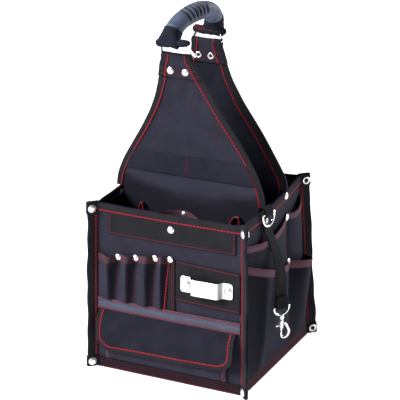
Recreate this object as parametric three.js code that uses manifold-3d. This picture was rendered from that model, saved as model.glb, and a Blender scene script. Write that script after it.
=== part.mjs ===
// A free-standing tool bag: a stiffened cloth box with two tall panels that rise to one handle.
// Millimetres, +Z up. The origin is the middle of the base, on the floor; the front faces -Y.
import * as THREE from 'three';
import { mergeVertices } from 'three/addons/utils/BufferGeometryUtils.js';
import Module from 'manifold-3d';

const wasm = await Module();
wasm.setup();

// Driving dimensions
const HALF_X = 125;          // half width of the box at the floor, to the outside of its walls
const HALF_Y = 127;          // half depth of the box at the floor
const RIM_Z = 271;           // height of the rim, over its binding
const WALL = 2.4;            // padded cloth wall
const CLOTH = 1.5;           // single pocket cloth
const BINDING = 1.7;         // folded binding tape
const GAP = 0.3;             // clearance between neighbouring pieces
const FLOOR = 3;             // thickness of the bottom panel
const RIM_TAPER = 0.028;     // share by which the rim is narrower than the floor
const FAR_PULL = 13;         // the far right rim corner leans in by this
const LEFT_BOW = 7;          // the left rim bows out by this
const RIM_BAND = 13;         // height of the rim binding
const BASE_BAND = 17;        // height of the band round the base
const PANEL_Y = 42;          // the two tall panels stand this far in front of and behind the middle
const PANEL_T = 3;
const WIRE = 2.25;           // radius of the handle rings' wire

const clamp01 = (t) => Math.min(1, Math.max(0, t));
const lerp = THREE.MathUtils.lerp;
const vec = (x, y, z) => new THREE.Vector3(x, y, z);

// The value of a table's column at a place along its first column
function lookUp(rows, key, column, at) {
  const last = rows.length - 1;
  if (at <= rows[0][key]) return rows[0][column];
  for (let i = 0; i < last; i += 1) {
    const [a, b] = [rows[i], rows[i + 1]];
    if (at <= b[key]) return lerp(a[column], b[column], (at - a[key]) / (b[key] - a[key]));
  }
  return rows[last][column];
}

// How the filled bag has settled: a narrower rim, a bowed left side and a far right corner that leans in
function settle(x, y, z) {
  const h = clamp01(z / RIM_Z);
  const back = clamp01((y + HALF_Y) / (2 * HALF_Y)) ** 2;
  const middle = clamp01(1 - (y / HALF_Y) ** 2);
  const pull = FAR_PULL * h * back * clamp01(x / HALF_X);
  const bow = LEFT_BOW * h * middle * clamp01(-x / HALF_X);
  return vec(x * (1 - RIM_TAPER * h) - pull - bow, y * (1 - RIM_TAPER * h), z);
}

// A point on a wall: s runs along it, z up it, and out is measured from its outer face
const WALLS = {
  front: (s, z, out) => settle(s, -HALF_Y - out, z),
  back: (s, z, out) => settle(s, HALF_Y + out, z),
  left: (s, z, out) => settle(-HALF_X - out, s, z),
  right: (s, z, out) => settle(HALF_X + out, s, z),
};

const bag = new THREE.Group();

const COLORS = {
  nylon: 0x26262f, binding: 0x1b1d1f, webbing: 0x1d2022, satin: 0x53617a, band: 0x2b1f28,
  metal: 0xd8dade, grip: 0x47506a,
};

function place(name, geometry, color) {
  const metal = color === 'metal';
  const material = new THREE.MeshStandardMaterial({
    color: COLORS[color], roughness: metal ? 0.25 : 0.85, metalness: metal ? 1 : 0,
  });
  const mesh = new THREE.Mesh(geometry, material);
  mesh.name = name;
  bag.add(mesh);
  return mesh;
}

// A closed body from points and triangles, turned so that its faces point out
function body(points, faces) {
  let volume = 0;
  for (const [a, b, c] of faces) volume += points[a].dot(points[b].clone().cross(points[c]));
  const outward = volume > 0 ? faces : faces.map(([a, b, c]) => [a, c, b]);
  const geometry = new THREE.BufferGeometry().setFromPoints(points);
  geometry.setIndex(outward.flat());
  geometry.computeVertexNormals();
  return geometry;
}

// A sheet with thickness: the closed body between the grids inner(u, v) and outer(u, v)
function slab(columns, rows, inner, outer) {
  const points = [];
  const faces = [];
  const side = (columns + 1) * (rows + 1);
  for (const grid of [inner, outer]) {
    for (let j = 0; j <= rows; j += 1) {
      for (let i = 0; i <= columns; i += 1) points.push(grid(i / columns, j / rows));
    }
  }
  const at = (i, j, k) => k * side + j * (columns + 1) + i;
  const quad = (a, b, c, d) => faces.push([a, b, c], [a, c, d]);
  for (let j = 0; j < rows; j += 1) {
    for (let i = 0; i < columns; i += 1) {
      quad(at(i, j, 0), at(i, j + 1, 0), at(i + 1, j + 1, 0), at(i + 1, j, 0));
      quad(at(i, j, 1), at(i + 1, j, 1), at(i + 1, j + 1, 1), at(i, j + 1, 1));
    }
    quad(at(0, j, 0), at(0, j, 1), at(0, j + 1, 1), at(0, j + 1, 0));
    quad(at(columns, j, 0), at(columns, j + 1, 0), at(columns, j + 1, 1), at(columns, j, 1));
  }
  for (let i = 0; i < columns; i += 1) {
    quad(at(i, 0, 0), at(i + 1, 0, 0), at(i + 1, 0, 1), at(i, 0, 1));
    quad(at(i, rows, 0), at(i, rows, 1), at(i + 1, rows, 1), at(i + 1, rows, 0));
  }
  return body(points, faces);
}

// A piece of cloth on a wall, from s0 to s1 and z0 to top(s), lying out(s, z) from it
function wallCloth(wall, { s0, s1, z0, top, columns, rows, thickness, out }) {
  const spot = (u, v, extra) => {
    const s = lerp(s0, s1, u);
    const z = lerp(z0, top(s), v);
    return WALLS[wall](s, z, out(s, z) + extra);
  };
  return slab(columns, rows, (u, v) => spot(u, v, 0), (u, v) => spot(u, v, thickness));
}

// A flat piece of tape or webbing on a wall
function wallTape(wall, s0, s1, z0, z1, out, thickness) {
  const columns = 8;
  return wallCloth(wall, { s0, s1, z0, top: () => z1, columns, rows: 1, thickness, out: () => out });
}

// A body through a row of sections, each a ring of points; caps are triangles of one section
function loft(sections, caps, closed = false) {
  const points = sections.flat();
  const n = sections[0].length;
  const faces = [];
  const count = closed ? sections.length : sections.length - 1;
  for (let k = 0; k < count; k += 1) {
    const [here, next] = [k * n, ((k + 1) % sections.length) * n];
    for (let i = 0; i < n; i += 1) {
      const j = (i + 1) % n;
      faces.push([here + i, here + j, next + j], [here + i, next + j, next + i]);
    }
  }
  if (!closed) {
    const end = (sections.length - 1) * n;
    for (const [a, b, c] of caps) faces.push([a, c, b], [end + a, end + b, end + c]);
  }
  return body(points, faces);
}

const fan = (n) => Array.from({ length: n - 2 }, (_, i) => [0, i + 1, i + 2]);
const outlineCaps = (outline) => THREE.ShapeUtils.triangulateShape(
  outline.map(([a, b]) => new THREE.Vector2(a, b)), []);

// A round wire along a curve, closed on itself or with flat ends
function wire(curve, radius, steps, sides, closed) {
  const { normals, binormals } = curve.computeFrenetFrames(steps, closed);
  const sections = [];
  for (let k = 0; k < (closed ? steps : steps + 1); k += 1) {
    const centre = curve.getPointAt(k / steps);
    sections.push(Array.from({ length: sides }, (_, i) => {
      const angle = (2 * Math.PI * i) / sides;
      return centre.clone()
        .addScaledVector(normals[k], radius * Math.cos(angle))
        .addScaledVector(binormals[k], radius * Math.sin(angle));
    }));
  }
  return loft(sections, fan(sides), closed);
}

// Oval sections along a curve, wide across X: rows give t, halfWidth and halfDepth
function ovalAlong(curve, stations, sides) {
  const sections = stations.map(({ t, halfWidth, halfDepth }) => {
    const tangent = curve.getTangentAt(t);
    const across = vec(1, 0, 0).addScaledVector(tangent, -tangent.x).normalize();
    const up = tangent.clone().cross(across);
    const centre = curve.getPointAt(t);
    return Array.from({ length: sides }, (_, i) => {
      const angle = (2 * Math.PI * i) / sides;
      return centre.clone()
        .addScaledVector(across, halfWidth * Math.cos(angle))
        .addScaledVector(up, halfDepth * Math.sin(angle));
    });
  });
  return loft(sections, fan(sides));
}

// A closed path through corner points, with each corner rounded
function roundedLoop(corners, radius) {
  const path = new THREE.CurvePath();
  const towards = (a, b) => a.clone().addScaledVector(b.clone().sub(a).normalize(), radius);
  corners.forEach((corner, i) => {
    const next = corners[(i + 1) % corners.length];
    const after = corners[(i + 2) % corners.length];
    path.add(new THREE.LineCurve3(towards(corner, next), towards(next, corner)));
    path.add(new THREE.QuadraticBezierCurve3(towards(next, corner), next, towards(next, after)));
  });
  return path;
}

// Boolean work on closed geometries
function toSolid(geometry) {
  const bare = geometry.clone();
  bare.deleteAttribute('normal');
  bare.deleteAttribute('uv');
  const merged = mergeVertices(bare, 1e-4);
  return new wasm.Manifold(new wasm.Mesh({
    numProp: 3,
    vertProperties: new Float32Array(merged.attributes.position.array),
    triVerts: new Uint32Array(merged.index.array),
  }));
}

function fromSolid(solid) {
  const { vertProperties, triVerts } = solid.getMesh();
  const geometry = new THREE.BufferGeometry();
  geometry.setAttribute('position', new THREE.BufferAttribute(vertProperties, 3));
  geometry.setIndex(new THREE.BufferAttribute(triVerts, 1));
  geometry.computeVertexNormals();
  return geometry;
}

const join = (...pieces) => fromSolid(pieces.map(toSolid).reduce((a, b) => a.add(b)));
const cut = (piece, ...tools) => fromSolid(tools.map(toSolid).reduce((a, b) => a.subtract(b), toSolid(piece)));

// Box: bottom, walls, corner bindings, rim and base bands
function buildBox() {
  const flat = (z) => (u, v) => settle(lerp(-HALF_X, HALF_X, u), lerp(-HALF_Y, HALF_Y, v), z);
  place('bottom_panel', slab(2, 2, flat(0), flat(FLOOR)), 'nylon');
  const wallTop = RIM_Z - BINDING - GAP;
  const lengths = { front: HALF_X, back: HALF_X, left: HALF_Y - WALL - GAP, right: HALF_Y - WALL - GAP };
  const binding = [
    [GAP, RIM_Z - RIM_BAND], [GAP + BINDING, RIM_Z - RIM_BAND], [GAP + BINDING, RIM_Z],
    [-WALL - GAP - BINDING, RIM_Z], [-WALL - GAP - BINDING, RIM_Z - RIM_BAND],
    [-WALL - GAP, RIM_Z - RIM_BAND], [-WALL - GAP, RIM_Z - BINDING], [GAP, RIM_Z - BINDING],
  ];
  const steps = 8;
  for (const [wall, half] of Object.entries(lengths)) {
    place(`${wall}_wall`, wallCloth(wall, {
      s0: -half, s1: half, z0: FLOOR + GAP, top: () => wallTop, columns: 8, rows: 4,
      thickness: WALL, out: () => -WALL,
    }), 'nylon');
    const reach = half - (wall === 'front' || wall === 'back' ? 8 : 5.5);
    const sections = Array.from({ length: steps + 1 }, (_, k) => binding.map(
      ([out, z]) => WALLS[wall](lerp(-reach, reach, k / steps), z, out)));
    place(`${wall}_rim_binding`, loft(sections, outlineCaps(binding)), 'binding');
    place(`${wall}_base_band`, wallTape(wall, -half + 3, half - 3, 0, BASE_BAND, GAP, BINDING), 'band');
  }
}

// Corner bindings: fins that stand out at 45 degrees, folded to a thicker cap at each end
const CAP = 16;
const FIN = [
  { z: 0, reach: 17, halfThick: 3.2 },
  { z: CAP, reach: 17, halfThick: 3.2 },
  { z: CAP + 3, reach: 15.5, halfThick: 2.1 },
  { z: RIM_Z - CAP - 3, reach: 15.5, halfThick: 2.1 },
  { z: RIM_Z - CAP, reach: 17, halfThick: 3.2 },
  { z: RIM_Z + 2, reach: 17, halfThick: 3.2 },
];
const CORNERS = [
  { name: 'near_left', sx: -1, sy: -1 },
  { name: 'near_right', sx: 1, sy: -1 },
  { name: 'far_right', sx: 1, sy: 1 },
  { name: 'far_left', sx: -1, sy: 1 },
];
const RIVET = [[0, 0], [6.3, 0], [6.3, 0.8], [4.8, 2], [0, 2.6]].map(([r, h]) => new THREE.Vector2(r, h));
const RIVET_LOW = 9;
const RIVET_DIAGONAL = 8.3;

function rivet(name, at, facing) {
  const mesh = place(name, new THREE.LatheGeometry(RIVET, 10), 'metal');
  mesh.quaternion.setFromUnitVectors(vec(0, 1, 0), facing.clone().normalize());
  mesh.position.copy(at);
}

function buildCorners() {
  for (const { name, sx, sy } of CORNERS) {
    const out = vec(sx, sy, 0).normalize();
    const across = vec(-sy, sx, 0).normalize();
    const spot = (row, along, side) => settle(sx * HALF_X, sy * HALF_Y, row.z)
      .addScaledVector(out, along).addScaledVector(across, side);
    const grid = (turn) => (u, v) => {
      const row = FIN[Math.round(v * (FIN.length - 1))];
      const slim = u === 1 ? 0.5 : 1;
      return spot(row, lerp(2 * GAP, row.reach, u), turn * row.halfThick * slim);
    };
    place(`corner_binding_${name}`, slab(3, FIN.length - 1, grid(-1), grid(1)), 'binding');
    const towards = sx * sy > 0 ? vec(1, -1, 0) : vec(-1, -1, 0);
    const face = FIN[0].halfThick + GAP;
    for (const [level, z] of [['low', RIVET_LOW], ['high', RIM_Z - RIVET_LOW]]) {
      const at = spot({ z }, RIVET_DIAGONAL, 0).addScaledVector(towards.clone().normalize(), face);
      rivet(`corner_rivet_${level}_${name}`, at, towards);
    }
  }
}

// Front wall: hook strip, tool slots, webbing with the tape clip, satin band and the flapped pocket
const SLOT_BOTTOM = 118;
const SLOTS = [
  { from: -121, to: -86, depth: 13 },
  { from: -86, to: -55, depth: 12.5 },
  { from: -55, to: -21.5, depth: 12.5 },
  { from: -21.5, to: 0.7, depth: 10 },
];
const SLOT_LIP = { left: 190, right: 200 };
const WEB_OUT = GAP + 2;

function slotBulge(s) {
  const slot = SLOTS.find(({ to }) => s <= to) ?? SLOTS[SLOTS.length - 1];
  const t = clamp01((s - slot.from) / (slot.to - slot.from));
  return slot.depth * Math.sqrt(Math.max(0, 1 - (2 * t - 1) ** 2));
}

function buildSlots() {
  const perSlot = 8;
  const edges = SLOTS.flatMap(({ from, to }) => Array.from({ length: perSlot }, (_, i) => {
    const t = 0.5 - 0.5 * Math.cos((Math.PI * i) / perSlot);
    return lerp(from, to, t);
  }));
  edges.push(SLOTS[SLOTS.length - 1].to);
  const spot = (u, v, extra) => {
    const s = edges[Math.round(u * (edges.length - 1))];
    const lip = lerp(SLOT_LIP.left, SLOT_LIP.right, (s - edges[0]) / (edges[edges.length - 1] - edges[0]));
    const z = lerp(SLOT_BOTTOM, lip, v);
    const full = lerp(0.6, 1, v);
    return WALLS.front(s, z, GAP + extra + slotBulge(s) * full);
  };
  const columns = edges.length - 1;
  place('tool_slots', slab(columns, 3, (u, v) => spot(u, v, 0), (u, v) => spot(u, v, CLOTH)), 'nylon');
}

// The tape clip: two riveted end plates and a bridge that stands off the webbing
const CLIP = { z: 165, half: 12, plate: 1.5 };
const CLIP_RUN = [
  { x: 21, out: 0, half: 5 }, { x: 24, out: 0, half: 10 }, { x: 29, out: 0, half: 12 },
  { x: 40, out: 0, half: 12 }, { x: 44, out: 8, half: 12 }, { x: 50, out: 9.5, half: 12 },
  { x: 78, out: 9.5, half: 12 }, { x: 84, out: 8, half: 12 }, { x: 88, out: 0, half: 12 },
  { x: 100, out: 0, half: 12 }, { x: 105.5, out: 0, half: 10 }, { x: 108.6, out: 0, half: 5 },
];
const CLIP_RIVETS = [{ name: 'clip_rivet_left', x: 31.4 }, { name: 'clip_rivet_right', x: 97.5 }];

function buildClip() {
  const base = WEB_OUT + GAP;
  const spot = (u, v, extra) => {
    const row = CLIP_RUN[Math.round(u * (CLIP_RUN.length - 1))];
    return WALLS.front(row.x, CLIP.z + row.half * (2 * v - 1), base + row.out + extra);
  };
  const columns = CLIP_RUN.length - 1;
  place('tape_clip', slab(columns, 2, (u, v) => spot(u, v, 0), (u, v) => spot(u, v, CLIP.plate)), 'metal');
  for (const { name, x } of CLIP_RIVETS) {
    rivet(name, WALLS.front(x, CLIP.z, base + CLIP.plate + GAP), vec(0, -1, 0));
  }
}

// The flap falls from the band over a bellows pocket, with round lower corners
const FLAP = { left: -118, right: 113, top: 99.7, bottom: 35, rise: 6, corner: 28, thick: 2 };
const FLAP_FALL = [
  { z: 99.7, out: 0.4 }, { z: 92, out: 8 }, { z: 82, out: 12.5 }, { z: 60, out: 15 }, { z: 35, out: 14 },
];
const POUCH = { left: -108, right: 100, bottom: 17.5, lip: 84, depth: 7.5, fold: 9 };

function buildFlap() {
  const bottomAt = (x) => {
    const inset = Math.min(x - FLAP.left, FLAP.right - x);
    const short = Math.max(0, FLAP.corner - inset);
    const tilt = (FLAP.rise * (x - FLAP.left)) / (FLAP.right - FLAP.left);
    return FLAP.bottom + tilt + FLAP.corner - Math.sqrt(FLAP.corner ** 2 - short ** 2);
  };
  const fall = [...FLAP_FALL].reverse();
  const spot = (u, v, extra) => {
    const t = 0.5 - 0.5 * Math.cos(Math.PI * u);
    const x = lerp(FLAP.left, FLAP.right, lerp(u, t, 0.6));
    const z = lerp(FLAP.top, bottomAt(x), v);
    return WALLS.front(x, z, lookUp(fall, 'z', 'out', z) + extra);
  };
  place('flap', slab(16, 6, (u, v) => spot(u, v, 0), (u, v) => spot(u, v, FLAP.thick)), 'nylon');
  const ease = (t) => Math.sin(0.5 * Math.PI * clamp01(t));
  place('flap_pocket', wallCloth('front', {
    s0: POUCH.left, s1: POUCH.right, z0: POUCH.bottom, top: () => POUCH.lip, columns: 24, rows: 4,
    thickness: CLOTH,
    out: (s, z) => {
      const side = ease(Math.min(s - POUCH.left, POUCH.right - s) / POUCH.fold);
      return GAP + POUCH.depth * side * ease((z - POUCH.bottom) / (1.5 * POUCH.fold));
    },
  }), 'nylon');
}

function buildFront() {
  const strip = { left: -100, right: 112.5, low: 224.5, high: RIM_Z - RIM_BAND - GAP };
  place('hook_strip', wallTape('front', strip.left, strip.right, strip.low, strip.high, GAP, CLOTH), 'webbing');
  rivet('strip_rivet', WALLS.front(5, 248, 2 * GAP + CLOTH), vec(0, -1, 0));
  buildSlots();
  place('slot_strip', wallTape('front', 1, 12, SLOT_BOTTOM, 201, GAP, 2), 'webbing');
  place('webbing_panel', wallTape('front', 14, 120.5, 134, 197.5, GAP, 2), 'webbing');
  buildClip();
  place('satin_band', wallTape('front', -121.5, 119, 100, 117.5, GAP, 2.2), 'satin');
  buildFlap();
  const inner = { s0: -36, s1: 44, z0: 120, lip: 266, depth: 32 };
  const bulge = (s) => Math.sin((Math.PI * (s - inner.s0)) / (inner.s1 - inner.s0));
  place('inner_pocket', wallCloth('front', {
    s0: inner.s0, s1: inner.s1, z0: inner.z0, columns: 10, rows: 4, thickness: CLOTH,
    top: (s) => (bulge(s) > 0.1 ? inner.lip : RIM_Z - RIM_BAND - 2),
    out: (s, z) => {
      const rise = (z - inner.z0) / (inner.lip - inner.z0);
      return -WALL - GAP - CLOTH - inner.depth * bulge(s) * rise;
    },
  }), 'nylon');
}

// Right wall: two rows of pockets, each with a near and a far one
const POCKET_BOTTOM = BASE_BAND + 0.5;
const POCKET_SPANS = [
  {
    name: 'near', from: -117, to: 44,
    upper: { left: 236, right: 232, sag: 7.5, depth: 9, skew: 1 },
    lower: { left: 205, right: 157, sag: 0, depth: 10, skew: 0.7 },
  },
  {
    name: 'far', from: 45, to: 117,
    upper: { left: 236, right: 243, sag: 7, depth: 9, skew: 1 },
    lower: { left: 157, right: 141, sag: 0, depth: 20, skew: 1.5 },
  },
];

// The lip's height and the bulge of a pocket: skew moves its crest along the wall
function pocketShape({ left, right, sag, depth, skew }, from, to) {
  const along = (s) => clamp01((s - from) / (to - from));
  const lip = (s) => lerp(left, right, along(s)) - sag * Math.sin(Math.PI * along(s));
  const rise = (s, z) => clamp01((z - POCKET_BOTTOM) / (lip(s) - POCKET_BOTTOM));
  const bulge = (s, z, power) => {
    const side = Math.max(0, Math.sin(Math.PI * along(s) ** skew)) ** 0.7;
    return depth * side * rise(s, z) ** power;
  };
  return { lip, bulge };
}

function buildSidePockets() {
  for (const { name, from, to, upper, lower } of POCKET_SPANS) {
    const inside = pocketShape(upper, from, to);
    const outside = pocketShape(lower, from, to);
    const upperOut = (s, z) => GAP + inside.bulge(s, z, 1);
    const lowerOut = (s, z) => upperOut(s, z) + CLOTH + GAP + outside.bulge(s, z, 1.5);
    const common = { s0: from, s1: to, z0: POCKET_BOTTOM, columns: 10, rows: 6, thickness: CLOTH };
    place(`upper_pocket_${name}`, wallCloth('right', { ...common, top: inside.lip, out: upperOut }), 'nylon');
    place(`lower_pocket_${name}`, wallCloth('right', { ...common, top: outside.lip, out: lowerOut }), 'nylon');
  }
}

// Tall panels: the outline's left and right edges at each height
const NEAR_EDGES = [
  { z: FLOOR + GAP, left: -117, right: 111 }, { z: 150, left: -117, right: 111 },
  { z: RIM_Z + 1.2, left: -117, right: 111 }, { z: RIM_Z + 1.6, left: -129, right: 120.5 },
  { z: 287, left: -128, right: 119 }, { z: 304, left: -122.7, right: 114 },
  { z: 322, left: -114.5, right: 107 }, { z: 348, left: -99, right: 92 },
  { z: 374, left: -84, right: 74.7 }, { z: 400, left: -71, right: 56 },
  { z: 425, left: -61.7, right: 38 }, { z: 450, left: -55.6, right: 22 },
  { z: 472, left: -53, right: 7 }, { z: 484, left: -51.5, right: 1.5 },
];
const FAR_EDGES = [
  { z: FLOOR + GAP, left: -117, right: 107 }, { z: 150, left: -117, right: 107 },
  { z: RIM_Z + 1.2, left: -117, right: 107 }, { z: RIM_Z + 1.6, left: -127, right: 121 },
  { z: 290, left: -124, right: 119.5 }, { z: 320, left: -110, right: 103 },
  { z: 350, left: -93, right: 84 }, { z: 379, left: -77, right: 65 },
  { z: 408, left: -63, right: 45 }, { z: 438, left: -52, right: 26.5 },
  { z: 460, left: -45, right: 18 }, { z: 476, left: -41, right: 12.8 }, { z: 488, left: -40, right: 9 },
];
const PANEL_BAND = { low: 304, high: 335, thick: 2, edge: 9 };

function buildPanel(name, y, edges) {
  const grid = (side) => (u, v) => {
    const row = edges[Math.round(v * (edges.length - 1))];
    return vec(lerp(row.left, row.right, u), y + (side * PANEL_T) / 2, row.z);
  };
  place(name, slab(6, edges.length - 1, grid(-1), grid(1)), 'nylon');
}

function buildPanels() {
  buildPanel('near_panel', -PANEL_Y, NEAR_EDGES);
  buildPanel('far_panel', PANEL_Y, FAR_EDGES);
  const front = -PANEL_Y - PANEL_T / 2 - GAP;
  const { low, high, thick, edge } = PANEL_BAND;
  const bandGrid = (y) => (u, v) => {
    const z = lerp(low, high, v);
    const left = lookUp(NEAR_EDGES, 'z', 'left', z) + edge;
    const right = lookUp(NEAR_EDGES, 'z', 'right', z) - edge;
    return vec(lerp(left, right, u), y, z);
  };
  place('panel_band', slab(6, 1, bandGrid(front), bandGrid(front - thick)), 'webbing');
}

// Handle: a loop on each panel top, a wire ring through it, and a grip whose ends fold round the rings
const ENDS = [
  {
    name: 'near', panelY: -PANEL_Y, panelTop: 484, loopX: -27.5, loopHalf: 18,
    bar: vec(-22, -PANEL_Y, 490.5), barHalf: 29, roll: vec(-29, -56, 513.6), rollHalf: 19,
  },
  {
    name: 'far', panelY: PANEL_Y, panelTop: 488, loopX: -16.5, loopHalf: 17,
    bar: vec(-15, PANEL_Y, 494.5), barHalf: 26, roll: vec(-18, 55, 507.5), rollHalf: 19,
  },
];
const GRIP_PATH = [
  vec(-29, -47, 528), vec(-28.5, -44, 532), vec(-25, -32, 540.5), vec(-20, -16, 547.5), vec(-14, 2, 551),
  vec(-9, 18, 550.8), vec(-5.5, 34, 546.5), vec(-5, 47, 537), vec(-7.5, 54, 525.5), vec(-8.5, 55, 521),
];
const GRIP_RADIUS = 13.6;
const RING_STEPS = 32;
const RIBS = { first: 0.3, last: 0.72, count: 7, depth: 1.6 };
const HANDLE_END = [
  { t: 0, halfWidth: 12.6, halfDepth: 12.6 },
  { t: 0.25, halfWidth: 14, halfDepth: 11 },
  { t: 0.5, halfWidth: 20, halfDepth: 8.5 },
  { t: 0.7, halfWidth: 25, halfDepth: 7 },
  { t: 0.88, halfWidth: 26, halfDepth: 6.2 },
  { t: 1, halfWidth: 24, halfDepth: 3.5 },
];

// A strap folded over a bar that runs along X, with its two legs either side of a panel
function foldedLoop({ loopX, loopHalf, bar, panelTop }) {
  const hole = WIRE + 0.5;
  const outside = hole + 2;
  const legIn = PANEL_T / 2 + GAP;
  const legOut = legIn + 2;
  const legDrop = panelTop - 24 - bar.z;
  const outline = new THREE.Shape();
  outline.moveTo(legOut, legDrop);
  outline.lineTo(legOut, -outside * 0.8);
  outline.absarc(0, 0, outside, -0.7, Math.PI + 0.7, false);
  outline.lineTo(-legOut, legDrop);
  outline.lineTo(-legIn, legDrop);
  outline.lineTo(-legIn, panelTop + GAP - bar.z);
  outline.lineTo(legIn, panelTop + GAP - bar.z);
  outline.lineTo(legIn, legDrop);
  outline.holes.push(new THREE.Path().absarc(0, 0, hole, 0, 2 * Math.PI, true));
  const geometry = new THREE.ExtrudeGeometry(outline, { depth: 2 * loopHalf, bevelEnabled: false, curveSegments: 8 });
  geometry.rotateX(Math.PI / 2).rotateZ(Math.PI / 2);
  geometry.translate(loopX - loopHalf, bar.y, bar.z);
  return geometry;
}

function buildHandle() {
  const grip = new THREE.CatmullRomCurve3(GRIP_PATH, false, 'centripetal');
  const steps = 44;
  const stations = Array.from({ length: steps + 1 }, (_, k) => {
    const t = k / steps;
    const within = (t - RIBS.first) / (RIBS.last - RIBS.first);
    const groove = within > 0 && within < 1 ? RIBS.depth * Math.sin(Math.PI * RIBS.count * within) ** 2 : 0;
    return { t, halfWidth: GRIP_RADIUS - groove, halfDepth: GRIP_RADIUS - groove };
  });
  place('handle_grip', ovalAlong(grip, stations, 10), 'grip');
  for (const end of ENDS) {
    const { name, bar, barHalf, roll, rollHalf } = end;
    place(`panel_loop_${name}`, foldedLoop(end), 'webbing');
    const corner = (centre, half) => centre.clone().add(vec(half, 0, 0));
    const ring = roundedLoop([
      corner(bar, -barHalf), corner(bar, barHalf), corner(roll, rollHalf), corner(roll, -rollHalf),
    ], 6);
    place(`handle_ring_${name}`, wire(ring, WIRE, RING_STEPS, 6, true), 'metal');
    const t = name === 'near' ? 0 : 1;
    const away = grip.getTangentAt(t).multiplyScalar(t === 0 ? -1 : 1);
    const start = grip.getPointAt(t).addScaledVector(away, 2 * GAP);
    const lip = roll.clone().addScaledVector(roll.clone().sub(start).normalize(), 6.5);
    const run = new THREE.QuadraticBezierCurve3(start, start.clone().addScaledVector(away, 7), lip);
    const tunnel = wire(ring, WIRE + 0.5, RING_STEPS, 6, true);
    place(`handle_end_${name}`, cut(ovalAlong(run, HANDLE_END, 14), tunnel), 'webbing');
  }
}

// Hanging strap on the right wall, its D-ring, and the swivel snap hook
const UP = vec(0, 0, 1);
const STRAP_T = 2;
const EYE = { x: 149.5, y: -40.5, z: 116.7, wire: 1.7, half: 13.9, drop: 13, yaw: 0.56 };
const RING = { x: 129, y: -48, z: 267.5, wire: 2, half: 14.5, drop: 20, yaw: 0.21 };

// A turn of cloth round the underside of a bar, from behind it to its front
function aroundBar(bar, hole) {
  const radius = hole + STRAP_T / 2;
  return Array.from({ length: 7 }, (_, k) => {
    const angle = Math.PI * (1 + k / 6);
    return { x: bar.x + radius * Math.cos(angle), z: bar.z + radius * Math.sin(angle), turn: 1 };
  });
}

// Each strap's run down the side, with the share of its bar's yaw that it has turned by
const STRAP_HALF = 10.5;
const STRAP_RUN = [
  { x: 123.6, z: 260, turn: 0 }, { x: 124, z: 252, turn: 0 }, { x: 125.6, z: 243, turn: 0 },
  { x: 129.6, z: 234, turn: 0.05 }, { x: 134, z: 225, turn: 0.1 }, { x: 139.4, z: 208, turn: 0.25 },
  { x: 144.2, z: 192, turn: 0.4 }, { x: 147.4, z: 177, turn: 0.5 }, { x: 148.4, z: 165, turn: 0.6 },
  { x: 148.6, z: 155, turn: 0.75 }, { x: 148, z: 145, turn: 0.9 }, { x: 147, z: 135, turn: 1 },
  { x: 146.4, z: 124, turn: 1 }, ...aroundBar(EYE, EYE.wire + 0.5),
  { x: 151.3, z: 124, turn: 1 }, { x: 149.8, z: 134, turn: 1 },
];
const TAB_HALF = 8;
const TAB_RUN = [
  { x: 123.4, z: 277.4, turn: 0.6 }, { x: 125, z: 272.4, turn: 0.9 }, ...aroundBar(RING, RING.wire + 0.4),
  { x: 131, z: 272.4, turn: 1 }, { x: 129.2, z: 275.6, turn: 1 },
];

// A D-shaped wire loop: a straight bar, turned by its yaw, with a bow below it
function bowCurve({ x, y, z, half, drop, yaw }) {
  const spot = (side, down) => vec(0, side * half, -down).applyAxisAngle(UP, -yaw).add(vec(x, y, z));
  const low = 1.33 * drop;
  const path = new THREE.CurvePath();
  path.add(new THREE.LineCurve3(spot(-1, 0), spot(1, 0)));
  path.add(new THREE.CubicBezierCurve3(spot(1, 0), spot(1, low), spot(-1, low), spot(-1, 0)));
  return path;
}

// A flat strap along a run, turning about the upright axis of the bar at its end
function ribbon(run, bar, half) {
  const facing = (i) => {
    const [a, b] = [run[Math.max(0, i - 1)], run[Math.min(run.length - 1, i + 1)]];
    return vec(a.z - b.z, 0, b.x - a.x).normalize();
  };
  const grid = (side) => (u, v) => {
    const i = Math.round(v * (run.length - 1));
    const { x, z, turn } = run[i];
    return vec(x - bar.x, lerp(-half, half, u), z)
      .addScaledVector(facing(i), (side * STRAP_T) / 2)
      .applyAxisAngle(UP, -bar.yaw * turn)
      .add(vec(bar.x, bar.y, 0));
  };
  return slab(1, run.length - 1, grid(-1), grid(1));
}

// Bolt snap: its axis hangs under the eye, and the hook lies in the plane of the direction HOOK_SIDE
const SNAP = {
  collarTop: 104.7, collarLow: 97.5, collarR: 4.2, boreR: 2.6, neckR: 2.1,
  barrelTop: 95, barrelLow: 82, barrelR: 3.4, barrelBore: 2.2, boreTop: 93,
  boltR: 1.8, boltLow: 76.6, boltTop: 87.5, studZ: 85.2, studR: 1.1, studReach: 8, travel: 5, hookR: 2,
};
const HOOK_SIDE = vec(0.9, 0.436, 0).normalize();
const HOOK_RUN = [
  { side: 1.5, z: 92 }, { side: 6.5, z: 89.5 }, { side: 10.4, z: 84 }, { side: 11.6, z: 77.5 },
  { side: 10, z: 71 }, { side: 5.6, z: 66.8 }, { side: 1.5, z: 67 }, { side: -0.2, z: 70 }, { side: 0, z: 76 },
];

function post(radius, low, high, sides = 12) {
  const geometry = new THREE.CylinderGeometry(radius, radius, high - low, sides).rotateX(Math.PI / 2);
  return geometry.translate(EYE.x, EYE.y, (low + high) / 2);
}

function sidePost(radius, from, to, z) {
  const geometry = new THREE.CylinderGeometry(radius, radius, to - from, 8).rotateZ(Math.PI / 2);
  geometry.translate((from + to) / 2, 0, 0);
  geometry.rotateZ(Math.atan2(HOOK_SIDE.y, HOOK_SIDE.x));
  return geometry.translate(EYE.x, EYE.y, z);
}

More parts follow.
